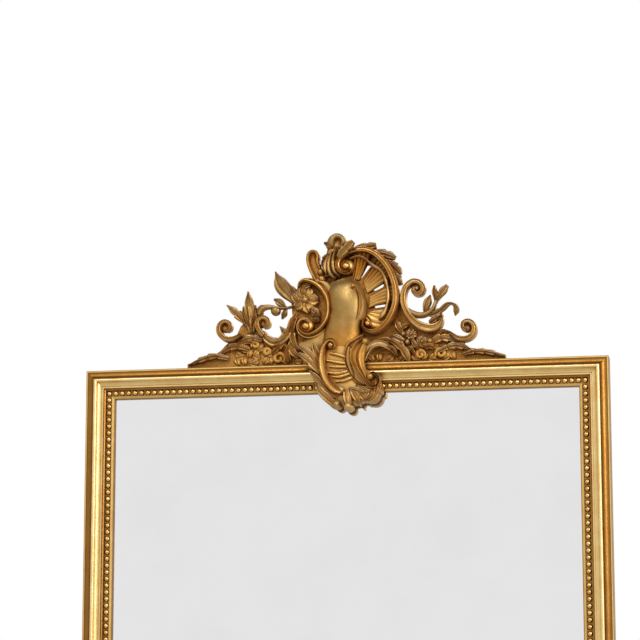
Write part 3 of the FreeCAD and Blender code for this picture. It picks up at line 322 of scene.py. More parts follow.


# Strong toning round the foot of each bead, which is partly painted shade.
gilt_beads = gilding(
    "gilt_beads", (0.86, 0.57, 0.21, 1), (0.66, 0.38, 0.11, 1), 0.24, rubbed=0.35, toned_and_shaded=0.9,
)
for row in ("top_beads", "bottom_beads", "left_beads", "right_beads"):
    low, high = (Vector(corner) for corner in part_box(row))
    first = Vector((low.x + BEAD_RADIUS, high.y, low.z + BEAD_RADIUS))
    last = Vector((high.x - BEAD_RADIUS, high.y, high.z - BEAD_RADIUS))
    count = round((last - first).length / BEAD_PITCH)
    bmesh.ops.create_uvsphere(block, u_segments=BEAD_SIDES, v_segments=BEAD_STEPS, radius=BEAD_RADIUS)
    bmesh.ops.bisect_plane(
        block, geom=block.verts[:] + block.edges[:] + block.faces[:], plane_co=(0, 0, 0), plane_no=(0, 1, 0),
        clear_outer=True,
    )
    bead_verts = block.verts[:]
    bead = bead_verts + block.edges[:] + block.faces[:]
    for step in range(1, count + 1):
        copy = bmesh.ops.duplicate(block, geom=bead)["geom"]
        verts = [item for item in copy if isinstance(item, bmesh.types.BMVert)]
        bmesh.ops.translate(block, verts=verts, vec=first.lerp(last, step / count))
    bmesh.ops.translate(block, verts=bead_verts, vec=first)
    make_piece(row, gilt_beads)

# Mirror plate: plain float glass silvered on its back, with no bevel.
# A little unevenness in the silver blurs it here and there.

SILVER = (0.9, 0.905, 0.9, 1)
DULL_SILVER = (0.875, 0.88, 0.875, 1)
HAZE_SCALE = 7
HAZE_SHARES = (0.4, 0.75)
BLUR_SHARES = (0.35, 0.8)
BLUR_ROUGHNESS = (0.012, 0.035)
mirror, shader, place = new_material("mirror_plate")
haze = noise(place, HAZE_SCALE, 6)
feed(shader, {
    "Base Color": blend(ramp(haze, HAZE_SHARES), SILVER, DULL_SILVER),
    "Metallic": 1,
    "Roughness": ramp(haze, BLUR_SHARES, *BLUR_ROUGHNESS),
})
dress(mirror, "mirror_plate")

# Glazing blocks and backboards: softwood blocks glued round the plate, and five sawn pine boards
# screwed over its back. The boards have gone brown.

dress(bare_pine, "glazing_blocks")
LEVEL_GRAIN = (0.7, 14, 14)
old_pine = pine("backboard_pine", OLD_PINE, OLD_PINE_DARK, LEVEL_GRAIN)
paler_pine = pine("backboard_pine_pale", PALER_PINE, OLD_PINE_DARK, LEVEL_GRAIN)
dress(old_pine, "backboard_1", "backboard_3", "backboard_4")
dress(paler_pine, "backboard_2", "backboard_5")

# Screws: slotted steel wood screws, dulled and a little rusty, turned in from behind through the boards,
# the battens and the hanger straps.

STEEL = (0.3, 0.29, 0.27, 1)
RUST = (0.13, 0.05, 0.02, 1)
BRASS = (0.58, 0.4, 0.13, 1)
TARNISH = (0.16, 0.1, 0.035, 1)
TARNISH_SCALE = 120
TARNISH_SHARES = (0.42, 0.68)
BARE_SHARES = (0.42, 0.72)
BARE_METAL = (1, 0.55)
WEAR_SHARES = (0.35, 0.7)
WORN_BY = 0.25
SCRATCH_SCALE = 900
SCRATCH_STRENGTH = 0.15
SCRATCH_DEPTH = 0.0003


def aged_metal(name, bright, aged, gloss):
    """Metal gone dull in clouds, with fine scratches."""
    material, shader, place = new_material(name)
    cloud = noise(place, TARNISH_SCALE, 6, 0.7)
    scratch = noise(place, SCRATCH_SCALE, 3)
    feed(shader, {
        "Base Color": blend(ramp(cloud, TARNISH_SHARES), bright, aged),
        "Metallic": ramp(cloud, BARE_SHARES, *BARE_METAL),
        "Roughness": ramp(cloud, WEAR_SHARES, gloss, gloss + WORN_BY),
    })
    bumped(shader, scratch, SCRATCH_STRENGTH, SCRATCH_DEPTH)
    return material


dress(aged_metal("screw_steel", STEEL, RUST, 0.34), "backboard_screws", "crest_screws", "hanger_screws")

# Crest battens and ground board: two pine uprights housed into the back of the top rail carry the
# fret-sawn board, whose front is gilded on a punched ground.

dress(bare_pine, "crest_batten_left", "crest_batten_right")
# The long occlusion reach darkens the board where the ornaments stand over it: toning and painted shade.
GROUND_SHADE_DEPTH = 0.05
gilt_ground = gilding(
    "gilt_ground", (0.6, 0.33, 0.085, 1), (0.4, 0.185, 0.04, 1), 0.42,
    dust=0.25, rubbed=0.45, toned_and_shaded=0.9, depth=GROUND_SHADE_DEPTH, stipple=420,
)
dress(gilt_ground, "crest_ground_board")

# The cartouche: a domed shield, burnished to a shine, with a thin raised edge on its right. A skirt and a
# shoulder join it to the left scroll. All is carved in softwood and glued to the ground board.
# The outlines of the crest are read from the photograph in pixels, two millimetres to a pixel.

PIXEL = 0.002
CREST_FOOT_PX = (343, 363.6)
RAIL_CLIMB_SHARE = 0.0345
LEAN_SHARES = (0.164, 0.212)
RAIL_EDGE = 0.041
SEEN_SHARE = 0.6
level = -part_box("crest_ground_board")[0][1]
FORWARD = Vector((0, -1, 0))
FINE_STEPS = 9
HANDLE_PARTS = 6
SCROLL_STEPS = 6
WELD = 0.00002
SET_IN = 0.00001
member_count = itertools.count(1)
LEAST_WIDTH_PX = 0.05


def spot(across_px, down_px, seen):
    """The place of a pixel on a face that is seen at one depth, put in the plane of the back."""
    nearer = seen - RAIL_EDGE
    along_px = across_px - CREST_FOOT_PX[0]
    up_px = CREST_FOOT_PX[1] - RAIL_CLIMB_SHARE * along_px - down_px
    x = along_px * PIXEL + LEAN_SHARES[0] * nearer
    z = frame_top + up_px * PIXEL - LEAN_SHARES[1] * nearer
    return Vector((x, 0, z))


def route(points_px, seen, steps):
    """Shares, places, directions and sideways directions at even steps along a smooth curve."""
    knots = [spot(u, v, seen) for u, v in points_px]
    reach = [knots[0] * 2 - knots[1]] + knots + [knots[-1] * 2 - knots[-2]]
    fine = []
    for before, start, end, after in zip(reach, reach[1:], reach[2:], reach[3:]):
        out = start + (end - before) / HANDLE_PARTS
        back = end - (after - start) / HANDLE_PARTS
        fine += interpolate_bezier(start, out, back, end, FINE_STEPS)[:-1]
    fine.append(knots[-1])
    runs = [0]
    for here, there in zip(fine, fine[1:]):
        runs.append(runs[-1] + (there - here).length)
    places = []
    low = 0
    for step in range(steps + 1):
        goal = runs[-1] * step / steps
        while low < len(fine) - 2 and runs[low + 1] < goal:
            low += 1
        places.append(fine[low].lerp(fine[low + 1], (goal - runs[low]) / (runs[low + 1] - runs[low])))
    marks = []
    for step, place in enumerate(places):
        along = places[min(step + 1, steps)] - places[max(step - 1, 0)]
        along.normalize()
        marks.append((step / steps, place, along, Vector((-along.z, 0, along.x))))
    return marks


def share_of(values, share):
    """The value at a share of the way along a list, on a smooth curve through its values."""
    run = share * (len(values) - 1)
    low = min(int(run), len(values) - 2)
    part = run - low
    start, end = values[low], values[low + 1]
    before, after = values[max(low - 1, 0)], values[min(low + 2, len(values) - 1)]
    bend = 2 * before - 5 * start + 4 * end - after + part * (3 * (start - end) + after - before)
    return start + part / 2 * (end - before + part * bend)


def carve(sections):
    """Lays a grid over a row of closed sections, welds its seam and closes its two ends.

    Each member is set in a hair deeper than the last, so that no two backs lie in one plane.
    """
    deeper = -FORWARD * (SET_IN * next(member_count))
    columns = len(sections[0]) + 1
    rows = len(sections)
    grid = bmesh.ops.create_grid(block, x_segments=columns - 1, y_segments=rows - 1, size=1)["verts"]
    for place, vert in enumerate(grid):
        section = sections[place // columns]
        vert.co = section[place % columns % len(section)] + deeper
    bmesh.ops.remove_doubles(block, verts=grid, dist=WELD)
    rims = [edge for edge in block.edges if edge.is_boundary]
    bmesh.ops.holes_fill(block, edges=rims, sides=0)


def domed(points, side, fullness):
    """A section with upright sides and a round crown."""
    crown = []
    for step in range(points + 1):
        angle = pi * step / points
        crown.append((-cos(angle), side + (1 - side) * sin(angle) ** fullness))
    return [(-1, 0)] + crown + [(1, 0)]


def scroll(points_px, widths_px, rise, section, rises=(1, 1), hand=1, back=level):
    """A carved member of one section run along a path, with its widths and a flat back."""
    steps = SCROLL_STEPS * (len(points_px) - 1)
    rings = []
    for share, place, along, side in route(points_px, back + rise * SEEN_SHARE, steps):
        half = max(share_of(widths_px, share), LEAST_WIDTH_PX) * PIXEL / 2
        lift = share_of(rises, share) * rise
        rings.append([
            place + side * (across * hand * half) + FORWARD * (back + height * lift)
            for across, height in section
        ])
    carve(rings)


KNOB_HEIGHTS = (0, 0.45, 0.62, 0.78, 0.9, 0.97, 1)
KNOB_SIDE_SHARE = 0.45
KNOB_TURNS = 20


def knob(centre_px, radius_px, rise, back=level):
    """A domed boss with its flat side on the ground."""
    middle = spot(centre_px[0], centre_px[1], back + rise * SEEN_SHARE)
    rings = []
    for height in KNOB_HEIGHTS:
        over = max(height - KNOB_SIDE_SHARE, 0) / (1 - KNOB_SIDE_SHARE)
        reach = radius_px * PIXEL * sqrt(max(1 - over ** 2, 0))
        ring = []
        for turn in range(KNOB_TURNS):
            heading = 2 * pi * turn / KNOB_TURNS
            out = Vector((cos(heading), 0, sin(heading))) * reach
            ring.append(middle + out + FORWARD * (back + rise * height))
        rings.append(ring)
    carve(rings)


FULL_TONE = (1, 1, 1, 1)


def shaded_by_height(tone, ends):
    """Painted shade that goes from full gold, at one height over the top rail, to a darker tone at the next.
    """

    def tones_and_shade(place):
        heights = [frame_top + end for end in ends]
        return blend(ramp(axes(place)["Z"], heights), FULL_TONE, tone)

    return tones_and_shade


# The lower part of the shield is painted darker and more orange: painted shade.
SHIELD_LOW_SHADE = (0.95, 0.7, 0.38, 1)
SHIELD_SHADED_HEIGHTS = (0.11, 0.03)
BRIGHT_LEAF = (0.74, 0.46, 0.145, 1)
BRIGHT_SHADE = (0.58, 0.31, 0.078, 1)
shield_gilt = gilding(
    "shield_gilt", (0.47, 0.3, 0.105, 1), (0.36, 0.21, 0.06, 1), 0.4, dust=0.12, rubbed=0.3,
    tones_and_shade=shaded_by_height(SHIELD_LOW_SHADE, SHIELD_SHADED_HEIGHTS),
)
matte = gilding(
    "matte_gilt", (0.62, 0.385, 0.13, 1), (0.48, 0.26, 0.068, 1), 0.4, dust=0.7, rubbed=0.35, toned_and_shaded=0.45,
)
burnished = gilding("burnished_gilt", BRIGHT_LEAF, BRIGHT_SHADE, 0.35, dust=0.12, rubbed=0.3)
SHIELD = [
    (-1, 0), (-1, 0.58), (-0.9, 0.7), (-0.75, 0.81), (-0.55, 0.9), (-0.3, 0.96), (-0.05, 1), (0.15, 1),
    (0.35, 0.98), (0.55, 0.92), (0.66, 0.86), (0.78, 0.77), (0.9, 0.66), (1, 0.52), (1, 0),
]
BEADING = domed(8, 0.4, 0.7)
SHIELD_RISE = 0.037
SHIELD_PX = [
    (339.6, 279), (342.2, 287), (345.6, 295), (347.8, 303), (348, 311), (345.8, 319), (343.8, 327),
    (342.2, 335), (341, 343), (340.2, 351),
], (25, 32, 35, 36, 35.4, 34, 34.4, 36.6, 36, 35)
SHIELD_RISES = (0.5, 0.78, 0.93, 1, 1, 0.97, 0.94, 0.93, 0.95, 0.98)
SKIRT_PX = [(339, 322), (332, 333), (322, 341), (311, 345.6), (298.6, 346)], (8, 15, 18, 18, 8)
SKIRT_RISES = (1.3, 1.2, 1, 0.8, 0.35)
SKIRT_RISE = 0.020
SKIRT = domed(10, 0.5, 0.8)
SHOULDER_PX = [(319, 281.4), (326, 285), (331, 292.6), (333, 301)], (3, 9, 9, 4)
scroll(*SHIELD_PX, SHIELD_RISE, SHIELD, SHIELD_RISES)
scroll(*SHOULDER_PX, SKIRT_RISE, SKIRT)
bright_faces = len(block.faces)
scroll(*SKIRT_PX, SKIRT_RISE, SKIRT, SKIRT_RISES)
make_piece("cartouche_shield", shield_gilt, matte, bright_faces)

EDGE_RISE = 0.037
EDGE_PX = [
    (358, 289.5), (360.4, 295.8), (361.4, 302.1), (360.8, 310.2), (358.4, 317.6), (356, 321.7),
], (2.2, 2.8, 2.8, 1.4)
EDGE_RISES = (0.9, 1, 1, 0.84)
EDGE_BALL_PX = ((354.2, 286.8), 2.8)
EDGE_BALL_RISE = 0.042
scroll(*EDGE_PX, EDGE_RISE, BEADING, EDGE_RISES)
knob(*EDGE_BALL_PX, EDGE_BALL_RISE)
make_piece("shield_edge_scroll", burnished)

# C-scrolls: bold carved bands, one on the left round a flower, one on the right that rims the shell.
# The left one has a fillet and a quirk outside its roll. Each winds into a volute with an eye.

ROLL = [
    (-1, 0), (-1, 0.55), (-0.94, 0.63), (-0.6, 0.63), (-0.52, 0.56), (-0.45, 0.44), (-0.38, 0.52),
    (-0.28, 0.7), (-0.12, 0.87), (0.08, 0.98), (0.28, 1), (0.48, 0.92), (0.66, 0.72), (0.8, 0.48),
    (0.9, 0.28), (1, 0.12), (1, 0),
]
RIM = [
    (-1, 0), (-1, 0.66), (-0.92, 0.82), (-0.76, 0.9), (-0.56, 0.85), (-0.3, 0.8), (0, 0.82), (0.28, 0.92),
    (0.5, 1), (0.7, 0.98), (0.86, 0.86), (0.96, 0.64), (1, 0.36), (1, 0),
]
C_RISE = 0.030
LEFT_C_PX = [
    (298.8, 287.2), (300.6, 282.4), (306, 280.2), (315, 282.2), (323.6, 288.6), (328.6, 297.4),
    (330.4, 307.2), (329.2, 317.8), (323.8, 327), (316, 333.4), (308, 335.6), (301.4, 332.6), (299, 326.8),
    (301, 321.8), (305.8, 320.4), (310, 323.4),
], (3.4, 5.4, 8, 10.2, 10.6, 10.2, 9.2, 7.8, 6.2, 5.2, 4.6, 4.2)
LEFT_C_EYE_PX = (306.4, 326.6)
EYE_RADIUS_PX = 3.7
C_EYE_RADIUS_PX = 5
C_BED_RADIUS_PX = 8.2
C_BED_RISE = 0.024
scroll(*LEFT_C_PX, C_RISE, ROLL, hand=-1)
knob(LEFT_C_EYE_PX, C_BED_RADIUS_PX, C_BED_RISE)
knob(LEFT_C_EYE_PX, C_EYE_RADIUS_PX, C_RISE)
make_piece("left_c_scroll", burnished)

RIGHT_C_PX = [
    (363.4, 320.6), (363, 326.4), (367, 330.8), (373.6, 332.2), (381, 329), (388, 321.8), (393.4, 312),
    (396.2, 301.4), (396.2, 291), (394.2, 280.8), (389.8, 269.8), (383, 260.2), (374.8, 253.2), (366, 249.8),
    (356.4, 250.2), (347.6, 253), (341.4, 257.4), (338.6, 263.2), (339.2, 269.2), (343.4, 273.2),
    (348.6, 273), (352, 269.4),
], (2.2, 4.8, 6.4, 6.6, 6.8, 6.8, 6.6, 6.2, 5.8, 5.4, 2)
RIGHT_C_BALL_PX = (368, 324)
RIGHT_C_EYE_PX = (346.8, 266.2)
BALL_RISE = 0.024
scroll(*RIGHT_C_PX, C_RISE, RIM)
knob(RIGHT_C_BALL_PX, EYE_RADIUS_PX, BALL_RISE)
knob(RIGHT_C_EYE_PX, C_BED_RADIUS_PX, C_BED_RISE)
knob(RIGHT_C_EYE_PX, C_EYE_RADIUS_PX, C_RISE)
make_piece("right_c_scroll", burnished)

# Flower in the hollow of the left C-scroll: two rings of petals round a bud, with leaves and small ones.
# It and all the foliage are gilded over a matte size, which dulls the gold and holds the dust.


def both_sides(half):
    """A section from its right half, which starts at the middle."""
    return [(-across, height) for across, height in half[:0:-1]] + half


LEAF_FRONT = both_sides([
    (0, 0.94), (0.1, 0.89), (0.22, 0.77), (0.36, 0.7), (0.52, 0.76), (0.68, 0.76), (0.84, 0.6), (1, 0.3),
])
LOBE_STEPS = 8
LOBE_LEAN_SHARE = 0.5
NOTCH_SHARE = 0.3
LEAF_END_SHARE = 0.72
LEAF_FULLNESS = 0.7


def leaf(points_px, halves_px, lobes, rise, back=level, foot_depth=0.0):
    """A carved leaf: a raised midrib between two flutes, with lobes that lean to the tip.

    Each lobe ends in a cut. The foot can go deeper than the back.
    """
    steps = max(lobes, 2) * LOBE_STEPS
    rings = []
    for share, place, along, side in route(points_px, back + rise * SEEN_SHARE, steps):
        cut = (1 - lobes * share % 1) ** 2
        if lobes * share < 1 or share == 1:
            cut = 0
        half = max(share_of(halves_px, share), LEAST_WIDTH_PX) * PIXEL * (1 - NOTCH_SHARE * cut)
        swell = sin(pi * share) ** LEAF_FULLNESS
        lift = rise * (LEAF_END_SHARE + (1 - LEAF_END_SHARE) * swell)
        front = []
        for across, height in LEAF_FRONT:
            lean = along * (half * LOBE_LEAN_SHARE * across ** 2 * (1 - share))
            proud = back + lift * height * (1 - NOTCH_SHARE * cut * across ** 2)
            front.append(place + side * (across * half) + lean + FORWARD * proud)
        foot = [Vector((point.x, foot_depth - back, point.z)) for point in (front[0], front[-1])]
        rings.append([foot[0]] + front + [foot[1]])
    carve(rings)


def each(make, rows, rise, *more):
    """Makes one carved member for each row of a table."""
    for row in rows:
        make(*row, rise, *more)


def leaves(name, leaves_px, rise, finish=matte, back=level, foot_depth=0.0):
    """A piece made of leaves alone."""
    each(leaf, leaves_px, rise, back, foot_depth)
    make_piece(name, finish)


PETAL_SHARES = (0.24, 0.5, 0.56, 0.3)
PETAL_RUN_SHARES = (0.1, 0.4, 0.72, 1)
FULL_RING = 5
RING_SHARES = ((1, 0, 5 / 6), (0.62, 1 / 3, 5 / 12))
HEART_SHARE = 0.3


def flower(centre_px, radius_px, petals, rise):
    """Two rings of petals, the inner one turned by half a petal and raised, round a domed heart."""
    for ring, (reach_share, back_share, rise_share) in enumerate(RING_SHARES):
        reach = radius_px * reach_share
        for petal in range(petals):
            heading = 2 * pi * (petal + ring / 2) / petals
            out = Vector((cos(heading), sin(heading)))
            path = [Vector(centre_px) + out * (reach * share) for share in PETAL_RUN_SHARES]
            halves = [share * reach * FULL_RING / petals for share in PETAL_SHARES]
            leaf(path, halves, 1, rise * rise_share, level + rise * back_share)
    knob(centre_px, radius_px * HEART_SHARE, rise)


ROSETTE_RISE = 0.023
ROSETTES_PX = [((305.6, 300), 13, 5), ((315.4, 313.4), 4, 4), ((316.6, 320), 3.2, 4)]
ROSETTE_LEAVES_PX = [
    ([(307, 296), (302.6, 291.6), (304.4, 286.6), (311, 285)], (3.4, 5, 4.6, 1.4), 2),
    ([(300.4, 303), (295.6, 298.6), (292.8, 292.8)], (3, 4.6, 1.4), 1),
    ([(311, 308), (316, 311.6), (319.6, 317)], (2.6, 4, 1.2), 1),
]
each(flower, ROSETTES_PX, ROSETTE_RISE)
each(leaf, ROSETTE_LEAVES_PX, ROSETTE_RISE)
make_piece("left_rosette", matte)

# Shell: four fluted rays that spread from the shield to the rim and rise toward it, each carved to the
# edge of the slot beside it, with a wavy lip under the rim. Painted shade darkens the rays under the head of
# the rim.

# The darker tone over the top of the shell is painted shade under the head of the rim.
SHELL_HEAD_SHADE = (0.64, 0.45, 0.2, 1)
SHELL_SHADED_HEIGHTS = (0.145, 0.19)
shell_gilt = gilding(
    "shell_gilt", BRIGHT_LEAF, BRIGHT_SHADE, 0.35, dust=0.12, rubbed=0.3,
    tones_and_shade=shaded_by_height(SHELL_HEAD_SHADE, SHELL_SHADED_HEIGHTS),
)
FAN_STEPS = 12
FLUTE_STEPS = 6
RAY_FOOT_SHARE = 0.36
RAY_SWEEP = 1.3
RAY_EDGE_SHARE = 0.42
RAY_CROWN_SHARE = 0.44
RAY_FULLNESS = 0.6
FLUTE_SHARE = 0.14


def fan(upper_px, lower_px, flutes, rise):
    """A fluted ray between two edges, each read from its inner to its outer end."""
    edges = [route(edge, level + rise * SEEN_SHARE, FAN_STEPS) for edge in (upper_px, lower_px)]
    rings = []
    for one, other in zip(*edges):
        run, start, end = one[0], one[1], other[1]
        lift = rise * (RAY_FOOT_SHARE + (1 - RAY_FOOT_SHARE) * run ** RAY_SWEEP)
        front = []
        for place in range(flutes * FLUTE_STEPS + 1):
            share = place / (flutes * FLUTE_STEPS)
            crown = sin(pi * share) ** RAY_FULLNESS
            flute = abs(sin(pi * flutes * share))
            proud = level + lift * (RAY_EDGE_SHARE + RAY_CROWN_SHARE * crown + FLUTE_SHARE * flute)
            front.append(start.lerp(end, share) + FORWARD * proud)
        rings.append([start + FORWARD * level] + front + [end + FORWARD * level])
    carve(rings)


RAY_RISE = 0.019
RAYS_PX = [
    ([(350.6, 278.6), (352, 268), (353, 250.4)], [(359.4, 279.2), (363.6, 271.8), (372, 255.4)], 4),
    ([(363.4, 279.4), (367.6, 272.4), (378.6, 257.4)], [(367.4, 293), (375, 288), (394.4, 276)], 5),
    ([(370.4, 295), (378, 290.6), (396, 282)], [(369, 308), (377, 304.8), (396.6, 302.4)], 4),
    ([(371, 310.4), (379, 308.2), (396, 306.2)], [(363.4, 316.4), (368.6, 327.6), (382, 331)], 4),
]
LIP_PX = [
    (351, 259), (356, 257), (361, 256.8), (366, 259), (370.4, 263), (374.6, 266.6), (379.4, 269.2),
    (383.4, 273.6), (386.4, 280), (388.4, 288), (389, 297), (387.6, 306), (384.4, 314), (379.4, 320.4),
], (1.6, 2.6, 3, 2.6, 3.2, 3.8, 3, 3.8, 4.8, 3.4, 5, 5.4, 3.8, 5, 6.4, 2)
LIP_RISE = 0.026
each(fan, RAYS_PX, RAY_RISE)
bright_faces = len(block.faces)
scroll(*LIP_PX, LIP_RISE, BEADING)
make_piece("shell_rays", shell_gilt, matte, bright_faces)

# Rim leaves: short leaves that lick outward from the rim of the shell.
# The leaves that stand free of the ground take a darker copy of the matte gilding: painted shade.

LEAF_RISE = 0.018
# A darker copy of the matte gilding; its darker colour is painted shade.
shaded_free_gilt = gilding(
    "shaded_free_leaf_gilt", (0.43, 0.265, 0.092, 1), (0.325, 0.172, 0.047, 1), 0.42,
    dust=0.6, rubbed=0.35, toned_and_shaded=0.5,
)
leaves("rim_leaves", [
    ([(355, 247.8), (361, 246.6), (368.4, 246), (376.6, 244.6)], (2.6, 4.2, 5.4, 3), 2),
    ([(373, 252), (380.4, 252.4), (388, 254.2), (395.6, 257.4)], (3.2, 4.8, 5.4, 2.2), 2),
    ([(386.4, 261), (392.4, 264.8), (397, 269), (400.8, 274)], (3.6, 5, 5.2, 2), 2),
    ([(393.6, 272.8), (398, 278), (401.4, 284.4)], (3.4, 4.2, 1.8), 2),
], LEAF_RISE, shaded_free_gilt)

# Crown: a curled bud on its fluted stem, a leaf laid over the rim, and a spoon-shaped horn to the left.
# The horn and the foliage at the foot of the crest are the most orange, where little of the leaf is left.

BUD_RISE = 0.028
STALK = domed(12, 0.3, 0.7)
BUD_LEAVES_PX = [
    ([(334.4, 248), (329.6, 244.4), (324.2, 242)], (4.6, 4.2, 1.2), 1),
    ([(332, 252), (327.4, 257), (324.2, 262), (326, 269)], (3.4, 4.8, 4.4, 1.2), 2),
    ([(336.4, 276), (333.6, 266), (334, 256), (336.4, 246)], (4.6, 7.8, 8, 6), 1),
]
BUD_BODY_PX = [
    (335, 277), (333.4, 268), (333, 259), (333.8, 250), (335.8, 243), (338, 238.4),
], (6, 12, 13, 13, 15, 14)
BUD_BODY_RISES = (0.4, 0.62, 0.66, 0.7, 0.62, 0.54)
BUD_CURL_PX = [
    (332, 252), (331.2, 244.6), (332.8, 239), (337, 236), (341.6, 237), (343.8, 241), (342.4, 245.4),
    (339, 247.4), (336.6, 250.6),
], (7, 9, 8.8, 7.6, 6.6, 5.8, 5.2, 4.6, 3)
BUD_CURL_RISES = (0.5, 0.85, 1, 1, 1, 0.9, 0.8, 0.6)
BUD_FLUTES_PX = [
    [(336.6, 249), (334.4, 257), (333.6, 264.4), (335.2, 271.4), (340.4, 277.4)],
    [(332.8, 252), (330, 259.4), (329, 266.4), (330.8, 273.6), (336, 279.4)],
    [(329.6, 256), (326.4, 262.4), (325.6, 268.4), (327.4, 275)],
]
BUD_FLUTE_WIDTHS_PX = (3, 5.4, 5.8, 5, 1.6)
BUD_BED_PX = [(334, 250), (333.6, 262), (334.4, 276)], (14, 18, 23)
BUD_BED_RISE = 0.016
each(leaf, BUD_LEAVES_PX, BUD_RISE)
scroll(*BUD_BODY_PX, BUD_RISE, STALK, BUD_BODY_RISES)
scroll(*BUD_CURL_PX, BUD_RISE, STALK, BUD_CURL_RISES)
for path in BUD_FLUTES_PX:
    scroll(path, BUD_FLUTE_WIDTHS_PX, BUD_RISE, BEADING)
scroll(*BUD_BED_PX, BUD_BED_RISE, STALK)
make_piece("crown_bud", shaded_free_gilt)

CROWN_LEAF_RISE = 0.013
leaves("crown_leaf", [
    ([(338.4, 257), (343.4, 251), (348.4, 245.6), (353.4, 240.4)], (3.2, 5.2, 6, 2.4), 2),
], CROWN_LEAF_RISE, shaded_free_gilt, level + C_RISE)

foliage_gilt = gilding(
    "foliage_gilt", (0.6, 0.335, 0.08, 1), (0.44, 0.205, 0.04, 1), 0.46, dust=0.4, rubbed=0.35, toned_and_shaded=0.55,
)
HORN_RISE = 0.023
HORN_FLOOR_RISE = 0.011
HORN_PX = [
    (321.6, 282), (317.4, 272.6), (313.8, 264.4), (312.8, 258), (313, 254), (313.2, 251.6),
], (9, 9.8, 10.4, 10.8, 10.6, 9.6, 7)
HORN_RIM_PX = [
    (318.4, 284), (313, 274.6), (309.4, 266), (308.2, 259), (309.2, 253.8), (312.8, 251.2), (316.6, 252.4),
    (318, 256.4), (318, 262), (320.6, 269),
], (3, 3.4, 3.6, 3.8, 4, 3.8, 3.4, 2.8)
HORN_KNOBS_PX = [((321, 272), 3.9), ((322.2, 278.8), 3.7)]
scroll(*HORN_PX, HORN_FLOOR_RISE, STALK)
scroll(*HORN_RIM_PX, HORN_RISE, BEADING)
each(knob, HORN_KNOBS_PX, HORN_RISE)
make_piece("horn_scroll", foliage_gilt)

# Right wing: an outer scroll with a leaf in its bowl and a spray behind it, an acanthus arch, small flowers,
# and a garland that runs down to the end of the crest, over a bank of foliage on the rail.

OUTER_RISE = 0.024
VOLUTE_BED_RISE = 0.014
RIGHT_OUTER_PX = [
    (442.2, 314.8), (441, 321.6), (436.4, 326.6), (428.4, 328.2), (418.8, 325), (410.2, 317.2), (404.8, 307),
    (403.6, 296.4), (406, 287.8), (412.4, 282), (419.4, 282.6), (423.2, 287.6), (421.6, 293), (417, 294.4),
    (413.4, 291.2), (415, 287.8),
], (1, 7.6, 9, 7.4, 6.4, 6.2, 6, 5.4, 4.8, 4.2)
RIGHT_OUTER_EYE_PX = (417.2, 289)
VOLUTE_BED_RADIUS_PX = 6
SMALL_EYE_RADIUS_PX = 2.6
BOWL_LEAF_PX = ([(428.6, 322.6), (433.6, 319.6), (438.4, 317), (442.6, 314.6)], (2.6, 4.4, 3.8, 0.8), 2)
scroll(*RIGHT_OUTER_PX, OUTER_RISE, RIM, hand=-1)
leaf(*BOWL_LEAF_PX, OUTER_RISE)
knob(RIGHT_OUTER_EYE_PX, VOLUTE_BED_RADIUS_PX, VOLUTE_BED_RISE)
knob(RIGHT_OUTER_EYE_PX, SMALL_EYE_RADIUS_PX, OUTER_RISE)
make_piece("right_outer_scroll", matte)

SPRAY_RISE = 0.013
SPRAY_STEM_PX = [
    (406.4, 309.4), (412, 313.2), (419, 315.2), (426, 314.2), (432.6, 308.8), (436, 301),
], (5.6, 6.4, 6, 5, 4, 3)
SPRAY_LEAVES_PX = [
    ([(424.4, 314.6), (425.6, 308), (427.4, 302), (430.2, 295)], (1.6, 3.6, 4, 0.8), 1),
    ([(436, 304), (435.4, 297), (434.4, 291), (434.2, 285.4)], (1.6, 2.4, 3, 1.2), 1),
    ([(435.6, 302.4), (438.6, 296.6), (442.4, 291), (447, 285)], (1.4, 3, 4, 2), 1),
    ([(426, 314.8), (434, 313.8), (441, 309.4), (447, 304), (452.4, 303)], (1.4, 3.2, 3.8, 3, 1), 2),
    ([(450.6, 302.8), (454.4, 305.6), (455.6, 310), (454.4, 315.4)], (1.2, 2.6, 3, 0.6), 1),
]
scroll(*SPRAY_STEM_PX, SPRAY_RISE, BEADING)
each(leaf, SPRAY_LEAVES_PX, SPRAY_RISE)
make_piece("right_spray", shaded_free_gilt)

ACANTHUS_RISE = 0.022
ARCH_PX = [
    (364.8, 361), (366.8, 354.4), (370.8, 347.8), (377.6, 344.2), (385, 345.2), (391.6, 351.4),
], (4.6, 6.4, 7.4, 7.8, 7.2, 2)
ACANTHUS_LEAVES_PX = [
    (
        [(373, 342.6), (383, 339.8), (393, 341.4), (401, 347), (405.8, 354), (408.8, 362)],
        (2, 3.4, 4.4, 5.4, 6, 1.6), 3,
    ),
    ([(381, 349), (387, 347), (393, 349.6), (397, 356)], (1.6, 3, 3.4, 1), 1),
]
scroll(*ARCH_PX, ACANTHUS_RISE, RIM, hand=-1)
each(leaf, ACANTHUS_LEAVES_PX, ACANTHUS_RISE)
make_piece("right_acanthus", matte)

FLOWER_RISE = 0.020
RIGHT_FLOWERS_PX = [((421.9, 341.7), 6.2, 5), ((411, 334.4), 5.6, 4)]
FLOWER_LEAVES_PX = [
    ([(403, 335), (400.6, 330), (398, 325), (396.2, 320.6)], (1.4, 3, 4, 1.2), 1),
    ([(400.6, 330), (404.4, 326.4), (409, 325)], (1.6, 3.2, 1), 1),
    ([(404, 341), (398, 338), (391.6, 335.4)], (2.4, 4, 1.4), 1),
    ([(424, 347.6), (430, 346), (434.6, 349.4)], (2, 3.4, 1), 1),
    ([(412, 339), (414.4, 344), (418, 349)], (1.8, 3, 1), 1),
]
FLOWER_BUDS_PX = [((407.4, 342.2), 2.6), ((402, 343), 2.2), ((403.2, 334), 2.4), ((429.6, 341), 3)]
each(leaf, FLOWER_LEAVES_PX, FLOWER_RISE)
each(flower, RIGHT_FLOWERS_PX, FLOWER_RISE)
each(knob, FLOWER_BUDS_PX, FLOWER_RISE)
make_piece("right_flowers", matte)

